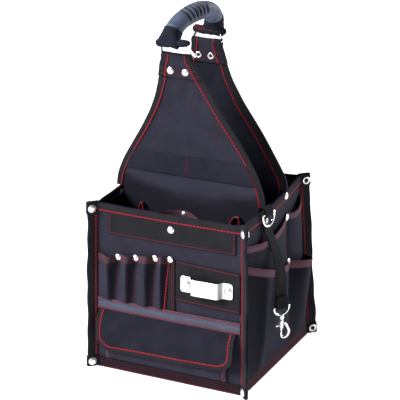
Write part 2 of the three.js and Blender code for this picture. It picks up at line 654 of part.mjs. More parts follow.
function buildSnap() {
  const s = SNAP;
  const bow = wire(bowCurve(EYE), EYE.wire, 28, 6, true);
  const collar = post(s.collarR, s.collarLow, s.collarTop);
  const bore = post(s.boreR, s.collarLow - 1, s.collarTop - 2.5);
  place('snap_eye', cut(join(bow, collar), bore), 'metal');
  const hookCurve = new THREE.CatmullRomCurve3(HOOK_RUN.map(({ side, z }) => (
    HOOK_SIDE.clone().multiplyScalar(side).add(vec(EYE.x, EYE.y, z)))));
  const hook = wire(hookCurve, s.hookR, 26, 7, false);
  const neck = post(s.neckR, s.barrelTop - 1, s.collarTop - 2.5 - GAP);
  const barrel = post(s.barrelR, s.barrelLow, s.barrelTop);
  const barrelBore = post(s.barrelBore, s.barrelLow - 1, s.boreTop);
  const slotHalf = s.studR + 0.3;
  const slot = new THREE.BoxGeometry(6, 2 * slotHalf, s.travel + 2 * slotHalf + 0.6);
  slot.translate(-4.5, 0, 0).rotateZ(Math.atan2(HOOK_SIDE.y, HOOK_SIDE.x));
  slot.translate(EYE.x, EYE.y, s.studZ + s.travel / 2);
  place('snap_hook', cut(join(hook, neck, barrel), barrelBore, slot), 'metal');
  const bolt = post(s.boltR, s.boltLow, s.boltTop);
  place('snap_bolt', join(bolt, sidePost(s.studR, -s.studReach, -0.5, s.studZ)), 'metal');
}

function buildStrap() {
  place('strap', ribbon(STRAP_RUN, EYE, STRAP_HALF), 'webbing');
  place('d_ring', wire(bowCurve(RING), RING.wire, 28, 6, true), 'metal');
  place('d_ring_tab', ribbon(TAB_RUN, RING, TAB_HALF), 'webbing');
}

buildBox();
buildCorners();
buildFront();
buildSidePockets();
buildPanels();
buildHandle();
buildStrap();
buildSnap();

export default bag;
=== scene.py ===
"""Looks of a free-standing tool bag: sewn cloth, bindings, stitching, plated metal and a moulded grip."""
from math import cos, pi, radians, sin, sqrt
from types import SimpleNamespace as Sizes

import bpy
import numpy as np
from mathutils import Matrix, Vector


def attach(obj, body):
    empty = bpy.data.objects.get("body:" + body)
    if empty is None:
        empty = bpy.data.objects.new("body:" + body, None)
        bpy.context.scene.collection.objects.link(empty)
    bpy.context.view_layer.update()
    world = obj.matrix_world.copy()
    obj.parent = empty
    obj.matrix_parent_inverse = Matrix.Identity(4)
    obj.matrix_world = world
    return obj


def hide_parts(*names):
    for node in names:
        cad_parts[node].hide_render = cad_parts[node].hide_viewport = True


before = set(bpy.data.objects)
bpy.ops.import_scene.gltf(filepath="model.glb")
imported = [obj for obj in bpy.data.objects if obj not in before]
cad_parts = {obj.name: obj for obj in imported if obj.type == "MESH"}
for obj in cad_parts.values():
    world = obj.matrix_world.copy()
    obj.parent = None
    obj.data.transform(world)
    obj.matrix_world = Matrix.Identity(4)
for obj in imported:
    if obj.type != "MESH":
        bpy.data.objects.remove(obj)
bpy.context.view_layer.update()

# Sizes in millimetres, as on the frame; meshes are made in metres
MM = 0.001
HALF_X, HALF_Y, RIM_Z = 125.0, 127.0, 271.0
WALL, CLOTH, BINDING, GAP, FLOOR = 2.4, 1.5, 1.7, 0.3, 3.0
RIM_TAPER, FAR_PULL, LEFT_BOW = 0.028, 13.0, 7.0
RIM_BAND, BASE_BAND = 13.0, 17.0
PANEL_Y, PANEL_T = 42.0, 3.0
RIM_SAG = {"front": 1.0, "back": 2.0, "left": 2.0, "right": 3.0}
SLACK = {"front": 1.2, "back": 3.0, "left": 2.5, "right": 1.0}
FORWARD, RIGHT, UP = (0, -1, 0), (1, 0, 0), (0, 0, 1)

# Camera: the photograph's long lens, in a 400 x 400 frame
CAMERA_AZIMUTH, CAMERA_ELEVATION = radians(25.70), radians(20.29)
CAMERA_DISTANCE, CAMERA_SIDE, CAMERA_TARGET_Z = 2785.0, -6.7, 252.3
CAMERA_LENS, SENSOR = 162.0, 36.0


# Node helpers
def node(tree, kind, inputs=None, **settings):
    made = tree.nodes.new(kind)
    for key, value in settings.items():
        setattr(made, key, value)
    for key, value in (inputs or {}).items():
        if isinstance(value, bpy.types.NodeSocket):
            tree.links.new(value, made.inputs[key])
        else:
            made.inputs[key].default_value = value
    return made


def math_node(tree, operation, a, b):
    return node(tree, "ShaderNodeMath", {0: a, 1: b}, operation=operation).outputs[0]


def noise(tree, place, scale, detail):
    inputs = {"Vector": place, "Scale": scale, "Detail": detail}
    return node(tree, "ShaderNodeTexNoise", inputs).outputs["Fac"]


def attribute(tree, name):
    return node(tree, "ShaderNodeAttribute", attribute_name=name).outputs["Fac"]


def object_place(tree):
    return node(tree, "ShaderNodeTexCoord").outputs["Object"]


def new_material(name, **values):
    made = bpy.data.materials.new(name)
    made.use_nodes = True
    shader = made.node_tree.nodes["Principled BSDF"]
    for key, value in values.items():
        shader.inputs[key.replace("_", " ")].default_value = value
    return made, made.node_tree, shader


def colour(tree, shader, factor, dark, light, low=0.0, high=1.0):
    """Runs the shader's colour from dark to light while the factor goes from low to high."""
    made = node(tree, "ShaderNodeValToRGB", {"Fac": factor})
    for element, position, shade in zip(made.color_ramp.elements, (low, high), (dark, light)):
        element.position = position
        element.color = (*shade, 1.0)
    tree.links.new(made.outputs["Color"], shader.inputs["Base Color"])


def roughen(tree, shader, factor, low, high):
    made = node(tree, "ShaderNodeMapRange", {"Value": factor, "To Min": low, "To Max": high})
    tree.links.new(made.outputs["Result"], shader.inputs["Roughness"])


def bump(tree, shader, height, strength, distance):
    made = node(tree, "ShaderNodeBump", {"Strength": strength, "Distance": distance, "Height": height})
    tree.links.new(made.outputs["Normal"], shader.inputs["Normal"])


WAVE_PERIOD = 2 * pi / 20.0
YARN = {"Distortion": 0.8, "Detail": 1.0, "Detail Scale": 1.5}
SHEEN_TINT = (0.4, 0.5, 0.8, 1.0)


def woven(name, dark, light, across, along, depth=0.5, roughness=(0.72, 0.9), sheen=0.04):
    """Cloth woven at a real pitch: across and along are the yarns' pitches in mm, in its own directions."""
    made, tree, shader = new_material(
        name, Specular_IOR_Level=0.05, Sheen_Weight=sheen, Sheen_Roughness=0.45, Sheen_Tint=SHEEN_TINT)
    place = node(tree, "ShaderNodeUVMap", uv_map="cloth").outputs["UV"]
    yarns = [node(tree, "ShaderNodeTexWave", {"Vector": place, "Scale": WAVE_PERIOD / pitch, **YARN},
                  bands_direction=axis).outputs["Fac"] for pitch, axis in ((across, "X"), (along, "Y"))]
    weave = math_node(tree, "MULTIPLY", *yarns)
    cloud = noise(tree, place, 0.03, 5.0)
    parts = [math_node(tree, "MULTIPLY", part, share) for part, share in ((weave, 0.45), (cloud, 0.6))]
    # A point attribute is taken off the cloth's colour: painted shade where it is above zero, painted light
    # where it is below
    shown = math_node(tree, "SUBTRACT", math_node(tree, "ADD", *parts), attribute(tree, "crease"))
    colour(tree, shader, shown, dark, light, 0.1, 0.9)
    roughen(tree, shader, cloud, *roughness)
    bump(tree, shader, weave, depth, 0.0004)
    return made


def thread(name, dark, light):
    made, tree, shader = new_material(name, Roughness=0.7, Specular_IOR_Level=0.15)
    fibre = noise(tree, object_place(tree), 900.0, 2.0)
    colour(tree, shader, fibre, dark, light, 0.25, 0.75)
    bump(tree, shader, fibre, 0.6, 0.0003)
    return made


def plated(name, color, roughness=(0.08, 0.2)):
    made, tree, shader = new_material(name, Metallic=1.0)
    smear = noise(tree, object_place(tree), 180.0, 4.0)
    colour(tree, shader, smear, tuple(0.86 * c for c in color), color, 0.3, 0.65)
    roughen(tree, shader, smear, *roughness)
    bump(tree, shader, smear, 0.08, 0.0003)
    return made


def moulded(name, dark, light):
    made, tree, shader = new_material(name, Specular_IOR_Level=0.3)
    place = object_place(tree)
    cloud = noise(tree, place, 60.0, 4.0)
    # The groove attribute darkens the colour in the grip's grooves: painted shade
    groove_shade = math_node(tree, "MULTIPLY", attribute(tree, "groove"), 0.7)
    colour(tree, shader, math_node(tree, "SUBTRACT", cloud, groove_shade), dark, light, 0.0, 0.75)
    roughen(tree, shader, cloud, 0.5, 0.68)
    bump(tree, shader, noise(tree, place, 1500.0, 2.0), 0.25, 0.0002)
    return made


MATERIALS = {
    "nylon": woven("nylon_cloth", (0.0118, 0.0111, 0.0179), (0.0407, 0.0386, 0.0605), 1.1, 1.1, 0.7),
    "binding": woven("binding_tape", (0.0094, 0.0091, 0.0119), (0.0261, 0.0252, 0.0308), 0.9, 4.0),
    "sleeve": woven("sleeve_cloth", (0.007, 0.008, 0.013), (0.022, 0.025, 0.039), 0.9, 2.0),
    "webbing": woven("ribbed_webbing", (0.0084, 0.0083, 0.0100), (0.0260, 0.0256, 0.0300), 1.9, 0.8, 0.8),
    # A darker copy of the nylon: painted shade on the side pockets and the far panel; the flap is made of it
    # too
    "pocket": woven("pocket_cloth", (0.0056, 0.0056, 0.0092), (0.0260, 0.0262, 0.0440), 1.1, 1.1, 0.7),
    "band": woven("panel_band_cloth", (0.0102, 0.0102, 0.0160), (0.0307, 0.0307, 0.0470), 1.1, 1.1, 0.7),
    "satin": woven(
        "satin_band", (0.040, 0.045, 0.067), (0.092, 0.100, 0.142), 6.0, 0.7, 0.25, (0.38, 0.5), 0.15),
    "base_tape": woven("base_tape", (0.0062, 0.0038, 0.0062), (0.0165, 0.0098, 0.0158), 1.0, 1.6),
    "lip_tape": woven("lip_tape", (0.0550, 0.0281, 0.0400), (0.1500, 0.0769, 0.1075), 1.2, 1.5),
    "dark_lip": woven("dark_lip_tape", (0.026, 0.015, 0.020), (0.078, 0.044, 0.058), 1.2, 1.5),
    "thread": thread("red_thread", (0.14, 0.005, 0.011), (0.30, 0.012, 0.022)),
    "fine_thread": thread("fine_red_thread", (0.075, 0.005, 0.009), (0.16, 0.011, 0.018)),
    "base_thread": thread("dark_red_thread", (0.038, 0.004, 0.007), (0.085, 0.008, 0.013)),
    "chrome": plated("bright_plate", (0.93, 0.93, 0.94)),
    "stud": plated("stud_plate", (0.95, 0.95, 0.95), (0.36, 0.5)),
    # Grey plate: painted shade on the clip's bent flank and round its rivets
    "grey_shade_plate": plated("grey_shade_plate", (0.46, 0.46, 0.45), (0.3, 0.45)),
    "grip_rubber": moulded("grip_rubber", (0.0024, 0.0024, 0.0037), (0.094, 0.120, 0.198)),
}


# Number helpers
def clip01(t):
    return np.clip(t, 0, 1)


def column(count):
    """Even steps from 0 to 1, as a column."""
    return np.linspace(0, 1, count)[:, None]


def around(count):
    return np.linspace(0, 2 * pi, count, endpoint=False)


def xyz(x, y, z):
    return np.stack(np.broadcast_arrays(x, y, z), axis=-1)


def unit(v):
    return v / np.maximum(np.linalg.norm(v, axis=-1, keepdims=True), 1e-9)


def run_of(path):
    """The distance along a path at each of its points."""
    return np.concatenate([[0], np.cumsum(np.linalg.norm(np.diff(path, axis=0), axis=1))])


def rounded(x, places, values, reach):
    """A table's value at x, with its corners rounded over a reach to either side."""
    return sum(np.interp(x + k * reach, places, values) for k in (-1, -0.5, 0, 0.5, 1)) / 5


def upright(s, low, high, rows):
    """Grids of s and z whose rows go from the line low to the line high."""
    z = low + (high - low) * column(rows)
    return np.broadcast_to(s, z.shape), z


def spans(s0, s1, columns, z0, z1, rows):
    return np.meshgrid(np.linspace(s0, s1, columns), np.linspace(z0, z1, rows))


def even_steps(path, count, closed=False):
    run = run_of(path)
    at = np.linspace(0, run[-1], count, endpoint=not closed)
    return np.stack([np.interp(at, run, path[:, k]) for k in range(3)], axis=1)


def smooth_path(points, count):
    """A smooth curve through the points, at even steps along its length."""
    p = np.asarray(points, float)
    p = np.concatenate([p[:1], p, p[-1:]])
    t = column(25)[:-1]
    dense = [
        b + 0.5 * t * (c - a + t * (2 * a - 5 * b + 4 * c - d + t * (3 * b - a - 3 * c + d)))
        for a, b, c, d in zip(p, p[1:], p[2:], p[3:])]
    return even_steps(np.concatenate([*dense, p[-1:]]), count)


def tangents(path, closed=False):
    if closed:
        return unit(np.roll(path, -1, axis=0) - np.roll(path, 1, axis=0))
    return unit(np.gradient(path, axis=0))


def rings(path, up, radius_a, radius_b=None, sides=12, closed=False):
    """Oval rings round a path: radius_a along the up direction, radius_b across it."""
    t = tangents(path, closed)
    up = np.broadcast_to(np.asarray(up, float), path.shape)
    up = unit(up - (up * t).sum(axis=-1, keepdims=True) * t)
    angle = around(sides)
    radii = [np.asarray(r, float) for r in (radius_a, radius_a if radius_b is None else radius_b)]
    a, b = (r if r.ndim == 2 else np.broadcast_to(r, len(path))[:, None] for r in radii)
    return (path[:, None] + up[:, None] * (a * np.cos(angle))[..., None]
            + np.cross(t, up)[:, None] * (b * np.sin(angle))[..., None])


# Mesh helpers
def outward(points, faces):
    """Whether the faces of a closed body point out of it."""
    p = points - points.mean(axis=0)
    fans = np.array([(f[0], f[k], f[k + 1]) for f in faces for k in range(1, len(f) - 1)])
    return (p[fans[:, 0]] * np.cross(p[fans[:, 1]], p[fans[:, 2]])).sum() >= 0


def add_mesh(name, points, faces, slot, own=None, replaces=None, body="root", bevel=0.0):
    """A piece from points in mm; own is each face's place on the cloth, for bodies to be turned outward."""
    points = np.asarray(points, float)
    if own is not None and not outward(points, faces):
        faces = [f[::-1] for f in faces]
        own = [o[::-1] for o in own]
    mesh = bpy.data.meshes.new(name)
    mesh.from_pydata((points * MM).tolist(), [], faces)
    mesh.materials.append(MATERIALS[slot])
    if own is not None:
        layer = mesh.uv_layers.new(name="cloth")
        layer.data.foreach_set("uv", np.array([uv for o in own for uv in o]).ravel())
    mesh.polygons.foreach_set("use_smooth", [True] * len(mesh.polygons))
    mesh.set_sharp_from_angle(angle=radians(50))
    mesh.update()
    piece = bpy.data.objects.new(name, mesh)
    bpy.context.scene.collection.objects.link(piece)
    if bevel:
        rounding = piece.modifiers.new("round_edges", "BEVEL")
        rounding.width = bevel * MM
        rounding.segments = 2
        rounding.limit_method = "ANGLE"
        rounding.angle_limit = radians(50)
    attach(piece, body)
    if replaces:
        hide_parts(replaces)
    return piece


def mark(piece, name, amount, sides=1):
    """Gives a mesh's points the values that its material reads; a slab has its grid on two sides."""
    marks = piece.data.attributes.new(name, "FLOAT", "POINT")
    marks.data.foreach_set("value", np.tile(amount.ravel(), sides))


def slab(name, inner, outer, slot, turn=False, **options):
    """A sheet with thickness between two grids of points; turn swaps the cloth's directions."""
    rows, columns = outer.shape[:2]
    u, v = run_of(outer[rows // 2]), run_of(outer[:, columns // 2])
    own = np.stack(np.meshgrid(u, v), axis=-1).reshape(-1, 2)
    own = np.tile(own[:, ::-1] if turn else own, (2, 1))
    low, top = np.arange(2 * rows * columns).reshape(2, rows, columns)
    quads = (
        (low[:-1, :-1], low[1:, :-1], low[1:, 1:], low[:-1, 1:]),
        (top[:-1, :-1], top[:-1, 1:], top[1:, 1:], top[1:, :-1]),
        (low[:-1, 0], top[:-1, 0], top[1:, 0], low[1:, 0]),
        (low[:-1, -1], low[1:, -1], top[1:, -1], top[:-1, -1]),
        (low[0, :-1], low[0, 1:], top[0, 1:], top[0, :-1]),
        (low[-1, :-1], top[-1, :-1], top[-1, 1:], low[-1, 1:]))
    faces = np.concatenate([np.stack([corner.ravel() for corner in four], axis=1) for four in quads])
    points = np.concatenate([inner.reshape(-1, 3), outer.reshape(-1, 3)])
    return add_mesh(name, points, faces.tolist(), slot, own[faces].tolist(), **options)


def ring_faces(count, n, closed=False, first=0):
    """Faces between successive rings of n points, with a cap on each end unless the rings close."""
    faces = []
    for k in range(count if closed else count - 1):
        low, high = first + k * n, first + (k + 1) % count * n
        faces += [(low + i, low + (i + 1) % n, high + (i + 1) % n, high + i) for i in range(n)]
    if not closed:
        last = first + (count - 1) * n
        faces += [tuple(range(first, first + n))[::-1], tuple(range(last, last + n))]
    return faces


def loft(name, sections, slot, closed=False, turn=False, **options):
    """A body through rings of points; closed joins the last ring to the first."""
    sections = np.asarray(sections, float)
    count, n = sections.shape[:2]
    ring, centres = sections[count // 2], sections.mean(axis=1)
    u = run_of(np.concatenate([ring, ring[:1]]))
    v = run_of(np.concatenate([centres, centres[:1]]) if closed else centres)
    own = []
    for k in range(count if closed else count - 1):
        for i in range(n):
            corners = ((i, k), (i + 1, k), (i + 1, k + 1), (i, k + 1))
            own.append([(v[b], u[a]) if turn else (u[a], v[b]) for a, b in corners])
    if not closed:
        own += [[(u[i], 0.0) for i in reversed(range(n))], [(u[i], v[-1]) for i in range(n)]]
    return add_mesh(name, sections.reshape(-1, 3), ring_faces(count, n, closed), slot, own, **options)


# Stitching: short rounded threads laid along a line on a surface
STITCH_RINGS = ((-0.5, 0.35), (-0.36, 0.95), (0.0, 1.0), (0.36, 0.95), (0.5, 0.35))
STITCH_SIDES = 6
BOLD = {"length": 5.4, "gap": 0.15, "width": 1.25, "height": 0.9}
FINE = {"length": 3.4, "gap": 1.2, "width": 0.5, "height": 0.35, "slot": "fine_thread"}


def stitches(name, rows, length, gap, width, height, slot="thread"):
    """rows: pairs of point lists, on the surface and 1 mm above it."""
    points, faces = [], []
    for base, lifted in rows:
        run = run_of(base)
        count = max(1, int(round(run[-1] / (length + gap))))
        pitch = run[-1] / count
        reach = 0.5 * pitch * length / (length + gap)

        def at(place, line):
            return np.array([np.interp(place, run, line[:, c]) for c in range(3)])

        for k in range(count):
            middle = (k + 0.5) * pitch
            a, b = at(middle - reach, base), at(middle + reach, base)
            normal = unit(at(middle, lifted - base))
            across = unit(np.cross(normal, b - a))
            faces += ring_faces(len(STITCH_RINGS), STITCH_SIDES, first=len(points))
            for place, thick in STITCH_RINGS:
                centre = 0.5 * (a + b) + (b - a) * place
                points += [
                    centre + across * (cos(t) * width * thick) + normal * (sin(t) * height * thick)
                    for t in around(STITCH_SIDES)]
    return add_mesh(name, points, faces, slot)


def row(place, count=60):
    """A stitch row from place(t, lift), with t from 0 to 1."""
    t = np.linspace(0, 1, count)
    return place(t, 0.0), place(t, 1.0)


# The settled box, as the frame has it, with a little slack in the cloth
def settle(x, y, z):
    h = clip01(z / RIM_Z)
    pull = FAR_PULL * h * clip01((y + HALF_Y) / (2 * HALF_Y)) ** 2 * clip01(x / HALF_X)
    swell = LEFT_BOW * h * clip01(1 - (y / HALF_Y) ** 2) * clip01(-x / HALF_X)
    return xyz(x * (1 - RIM_TAPER * h) - pull - swell, y * (1 - RIM_TAPER * h), z)


def wall(side, s, z, out):
    """A point on a wall: s along it, z up it, out from its outer face."""
    s, z, out = np.broadcast_arrays(*(np.asarray(v, float) for v in (s, z, out)))
    within = clip01(1 - (s / (HALF_X if side in ("front", "back") else HALF_Y)) ** 2)
    rise = clip01(z / RIM_Z)
    ripple = 0.5 * np.sin(s / 23 + z / 41) * np.sin(z / 29 - s / 60)
    out = out + within * np.sin(pi * rise) * (SLACK[side] + ripple)
    z = z - RIM_SAG[side] * within * rise ** 2
    way = 1 if side in ("back", "right") else -1
    if side in ("front", "back"):
        return settle(s, way * (HALF_Y + out), z)
    return settle(way * (HALF_X + out), s, z)


def wall_cloth(name, side, s, z, out, thickness, slot, **options):
    """Cloth on a wall over grids of s and z; out is its lift, or gives it at s and z."""
    lift = out(s, z) if callable(out) else out
    return slab(name, wall(side, s, z, lift), wall(side, s, z, lift + thickness), slot, **options)


def wall_line(side, s, z, out):
    """A stitch row through points on a wall."""
    return wall(side, s, z, out), wall(side, s, z, out + 1)


def wall_row(side, s0, z0, s1, z1, out, count=60):
    """A straight stitch row on a wall's outside, or on its inside where out is below zero."""
    facing = -1.0 if out < 0 else 1.0

    def place(t, lift):
        return wall(side, s0 + (s1 - s0) * t, z0 + (z1 - z0) * t, out + facing * lift)

    return row(place, count)


WALL_HALF = {"front": HALF_X, "back": HALF_X, "left": HALF_Y - WALL - GAP, "right": HALF_Y - WALL - GAP}
RIM_REACH = {"front": 2.5, "back": 2.5, "left": 1.5, "right": 1.5}
RIM_LINE = RIM_Z - RIM_BAND + 2.2
BASE_ROWS = (2.0, 6.2, 10.2, 14.2)


def rim_profile():
    """The rim tape's section, as lifts and heights: folded over the wall's top."""
    outer, inner = GAP + BINDING, -WALL - GAP - BINDING
    middle, half = 0.5 * (outer + inner), 0.5 * (outer - inner)
    crown, low = RIM_Z - half, RIM_Z - RIM_BAND
    angle = np.linspace(0, pi, 13)
    over, under = ([(middle + r * cos(a), crown + r * sin(a)) for a in angle] for r in (half, half - BINDING))
    under = [(inner + BINDING, low), *under[::-1], (outer - BINDING, low)]
    return np.array([(outer, low), *over, (inner, low), *under])


def build_box():
    half_x, half_y = HALF_X - WALL - GAP, HALF_Y - WALL - GAP
    x, y = spans(-half_x, half_x, 24, -half_y, half_y, 24)
    slab("bottom_cloth", settle(x, y, GAP), settle(x, y, FLOOR), "nylon", replaces="bottom_panel")
    profile = rim_profile()
    rim_rows, base_rows, base_seam = [], [], []
    for side, half in WALL_HALF.items():
        grid = spans(-half, half, 49, FLOOR + GAP, RIM_Z - 2, 49)
        wall_cloth(f"{side}_cloth", side, *grid, -WALL, WALL, "nylon", replaces=f"{side}_wall")
        reach = half - RIM_REACH[side]
        sections = [
            wall(side, s, profile[:, 1] + 0.35 * sin(s / 9.0), profile[:, 0])
            for s in np.linspace(-reach, reach, 64)]
        loft(f"{side}_rim_tape", sections, "binding", replaces=f"{side}_rim_binding")
        for inset, out in ((0.4, GAP + BINDING), (2, -WALL - GAP - BINDING)):
            rim_rows.append(wall_row(side, inset - reach, RIM_LINE, reach - inset, RIM_LINE, out))
        end = half - 3
        grid, replaced = spans(-end, end, 60, 0.0, BASE_BAND, 5), f"{side}_base_band"
        wall_cloth(f"{side}_base_tape", side, *grid, GAP, BINDING, "base_tape", replaces=replaced, bevel=0.5)
        low, *others = [wall_row(side, -end + 3, z, end - 3, z, GAP + BINDING) for z in BASE_ROWS]
        base_seam.append(low)
        (base_seam if side == "right" else base_rows).extend(others)
    stitches("rim_stitching", rim_rows, **BOLD)
    stitches("base_stitching", base_rows, 3.0, 1.6, 0.5, 0.35, "base_thread")
    stitches("base_seam", base_seam, 3.6, 0.5, 0.7, 0.45, "fine_thread")


# Turned metal: rivets with a dome, and eyelets with a pit
DOME = ((1.0, 0.0), (1.0, 0.09), (0.94, 0.135), (0.83, 0.14), (0.80, 0.175), (0.73, 0.26),
        (0.60, 0.335), (0.42, 0.39), (0.2, 0.415), (0.02, 0.42))
PIT = ((0.5, 0.02), (0.5, 0.07), (0.4, 0.08), (0.02, 0.08))
WASHER = ((1.0, 0.0), (1.0, 0.05), (0.96, 0.07), (0.7, 0.07))
EYELET = ((1.0, 0.0), (1.0, 0.1), (0.93, 0.19), (0.8, 0.24), (0.66, 0.23), (0.56, 0.17), (0.52, 0.06),
          (0.02, 0.05))


def turned(name, centre, axis, profile, size, slot="stud", **options):
    """A body turned round an axis: its profile's radius and height pairs are shares of its size."""
    axis = unit(np.asarray(axis, float))
    side = unit(np.cross(axis, (0.13, 0.21, 0.97) if abs(axis[2]) < 0.9 else (1.0, 0.0, 0.0)))
    angle = around(30)[:, None]
    circle = np.cos(angle) * side + np.sin(angle) * np.cross(axis, side)
    sections = [np.asarray(centre) + axis * (h * size) + circle * (r * size) for r, h in profile]
    if profile is EYELET:
        turned(f"{name}_pit", centre, axis, PIT, size, "binding")
    return loft(name, sections, slot, **options)


# Corner seams: the walls' edges meet in a bound fin with folded caps
CORNERS = {"near_left": (-1, -1), "near_right": (1, -1), "far_right": (1, 1), "far_left": (-1, 1)}
FIN_LOW, FIN_HIGH = 19.0, 252.0
FIN_Z = (0.0, 1.2, 16.0, 17.2, FIN_LOW, FIN_HIGH, 253.8, 255.0, 271.8, 273.0)
FIN_REACH = (15.6, 17.0, 17.0, 16.6, 15.3, 15.3, 16.6, 17.0, 17.0, 15.6)
FIN_HALF = (2.2, 3.3, 3.3, 2.9, 2.0, 2.0, 2.9, 3.3, 3.3, 2.2)
FIN_ROWS = (0, 1.2, *np.linspace(4, 16, 5), 17.2, *np.linspace(FIN_LOW, FIN_HIGH, 110),
            253.8, *np.linspace(255, 271.8, 6), 273)
FIN_ROOT, FIN_FOOT, FIN_SEAM, FIN_SEAM_LENGTH = -3.2, 4.0, 1.6, 233.4
CORNER_RIVETS = {"low": 9.0, "high": 262.0}
CORNER_RIVET_ALONG, CORNER_RIVET_SIDE, CORNER_RIVET_SIZE = 8.3, 3.32, 6.3


def off_caps(z, fade):
    """0 on the corner's caps, rising to 1 over a fade beyond them."""
    return clip01((z - FIN_LOW) / fade) * clip01((FIN_HIGH - z) / fade)


def build_corners():
    rows = []
    for turn, (name, (sx, sy)) in enumerate(CORNERS.items()):
        out = np.array([sx, sy, 0.0]) / sqrt(2)
        across = np.array([-sy, sx, 0.0]) / sqrt(2)
        facing = across if across[1] < 0 else -across
        phase = 1.7 * turn

        def spot(z, along, side):
            z, along, side = np.broadcast_arrays(np.asarray(z, float), along, side)
            wave = 0.9 * np.sin(z / 27 + phase) + 0.4 * np.sin(z / 9 + 2 * phase)
            side = side + off_caps(z, 20) * wave * along / 12
            return settle(sx * HALF_X, sy * HALF_Y, z) + out * along[..., None] + across * side[..., None]

        sections = []
        angle = np.linspace(0.5 * pi, -0.5 * pi, 9)
        for z in FIN_ROWS:
            half = np.interp(z, FIN_Z, FIN_HALF)
            wave = 0.5 * sin(z / 8 + phase) + 0.4 * sin(z / 21)
            reach = np.interp(z, FIN_Z, FIN_REACH) + off_caps(z, 10) * wave
            along = (FIN_ROOT, FIN_FOOT, *(reach - half + half * np.cos(angle)), FIN_FOOT, FIN_ROOT)
            sections.append(spot(z, along, half * np.array((0.8, 1, *np.sin(angle), -1, -0.8))))
        loft(f"corner_tape_{name}", sections, "binding", turn=True, replaces=f"corner_binding_{name}")
        for way in (1, -1):
            seam = row(lambda t, lift: spot(FIN_LOW + FIN_SEAM_LENGTH * t, FIN_SEAM, way * (2.05 + lift)), 90)
            rows.append(seam)
        for level, z in CORNER_RIVETS.items():
            for way, label in ((1, ""), (-1, "_back")):
                centre = spot(z, CORNER_RIVET_ALONG, way * CORNER_RIVET_SIDE * float(np.dot(facing, across)))
                shape = EYELET if name == "far_right" else DOME
                replaced = None if label else f"corner_rivet_{level}_{name}"
                turned(f"corner_stud_{level}_{name}{label}", centre, way * facing, shape, CORNER_RIVET_SIZE,
                       replaces=replaced)
    stitches("corner_stitching", rows, **BOLD)


# Tall panels that carry the handle: bound edges and a stitched line inside the binding
NEAR_EDGES = np.array([
    (3.3, -117, 111), (272.2, -117, 111), (272.6, -129, 120.5), (287, -128, 119), (304, -122.7, 114),
    (322, -114.5, 107), (348, -99, 92), (374, -84, 74.7), (400, -71, 56), (425, -61.7, 38),
    (450, -55.6, 22), (472, -53, 7), (484, -51.5, 1.5)])
FAR_EDGES = np.array([
    (3.3, -117, 107), (272.2, -117, 107), (272.6, -127, 121), (290, -124, 119.5), (320, -110, 103),
    (350, -93, 84), (379, -77, 65), (408, -63, 45), (438, -52, 26.5), (460, -45, 18), (476, -41, 12.8),
    (488, -40, 9)])
PANEL_BAND = Sizes(low=304.0, high=335.0, thick=2.0, edge=9.0, tack_x=-7.5, tack_z=306.0, tack=27.0)
BUCKLE = Sizes(low=285.0, high=470.0, fade=60.0)
# Painted light and shade on the near panel's cloth by height: painted light below its band, and painted shade
# where it goes down into the box
PAINTED_SHADE_HEIGHTS, PAINTED_SHADE_TABLE = (255, 272, 278, 284, 290, 304, 335), (0.6, 0.6, 0.28, 0.0, -0.28, -0.3, 0.0)
# Width of the binding on the left and right edge, low and at the top
EDGE_TAPE = {"near_divider": ((9.5, 12.5), (9.5, 10.5)), "far_divider": ((9.5, 9.5), (14.0, 10.5))}


def panel_edges(table, z):
    """Left and right edge at each height, with the table's corners rounded above the rim."""
    z = np.asarray(z, float)
    near = np.clip(np.minimum(z - 273, table[-1, 0] - z), 0, 7)
    return [rounded(z, table[:, 0], table[:, c], near) for c in (1, 2)]


def panel_at(y, x, z, lift):
    """A point of a panel's cloth, which buckles a little between the rim and the handle."""
    free = clip01((z - BUCKLE.low) / BUCKLE.fade) * clip01((BUCKLE.high - z) / BUCKLE.fade)
    buckle = free * (1.7 * np.sin(x / 34 + z / 47) + 0.9 * np.sin(z / 21 - x / 29))
    return xyz(x, y + buckle + lift, z)


def between(left, right, z_rows, columns):
    """Grids of x and z between two edges."""
    x = left[:, None] + (right - left)[:, None] * column(columns).T
    return x, np.broadcast_to(z_rows[:, None], x.shape)


def build_panel(name, y, table, look, replaced):
    z_rows = np.concatenate([np.linspace(*table[:2, 0], 12), np.linspace(*table[[2, -1], 0], 60)])
    x, z = between(*panel_edges(table, z_rows), z_rows, 33)
    half = 0.5 * PANEL_T
    back, front = (panel_at(y, x, z, lift) for lift in (half - 0.3, 0.3 - half))
    cloth = slab(f"{name}_cloth", back, front, look, replaces=replaced)
    # The near panel's cloth gets its painted light and shade from the table by height
    if look == "nylon":
        mark(cloth, "crease", np.interp(z + 12.5 - 0.0016 * (x - 5) ** 2, PAINTED_SHADE_HEIGHTS, PAINTED_SHADE_TABLE), 2)
    rows = []
    z_rows = np.linspace(273.0, table[-1, 0], 70)
    thick = half + 0.55
    edges = panel_edges(table, z_rows)
    for side, edge, inward, widths in zip(("left", "right"), edges, (1.0, -1.0), EDGE_TAPE[name]):
        width = np.interp(z_rows, (400, 465), widths)
        tangent = unit(np.stack([np.gradient(edge), np.gradient(z_rows)], axis=1)) * inward

        def at(along, lift):
            return panel_at(y, edge + tangent[:, 1] * along, z_rows - tangent[:, 0] * along, lift)

        ring = [at(-0.9, 0.0), at(-0.4, -thick), at(width, -thick), at(width, thick), at(-0.4, thick)]
        loft(f"{name}_edge_{side}", np.stack(ring, axis=1), "binding", turn=True)
        rows += [(at(width - 1.3, way * thick), at(width - 1.3, way * (thick + 1))) for way in (-1, 1)]
    stitches(f"{name}_stitching", rows, **BOLD)


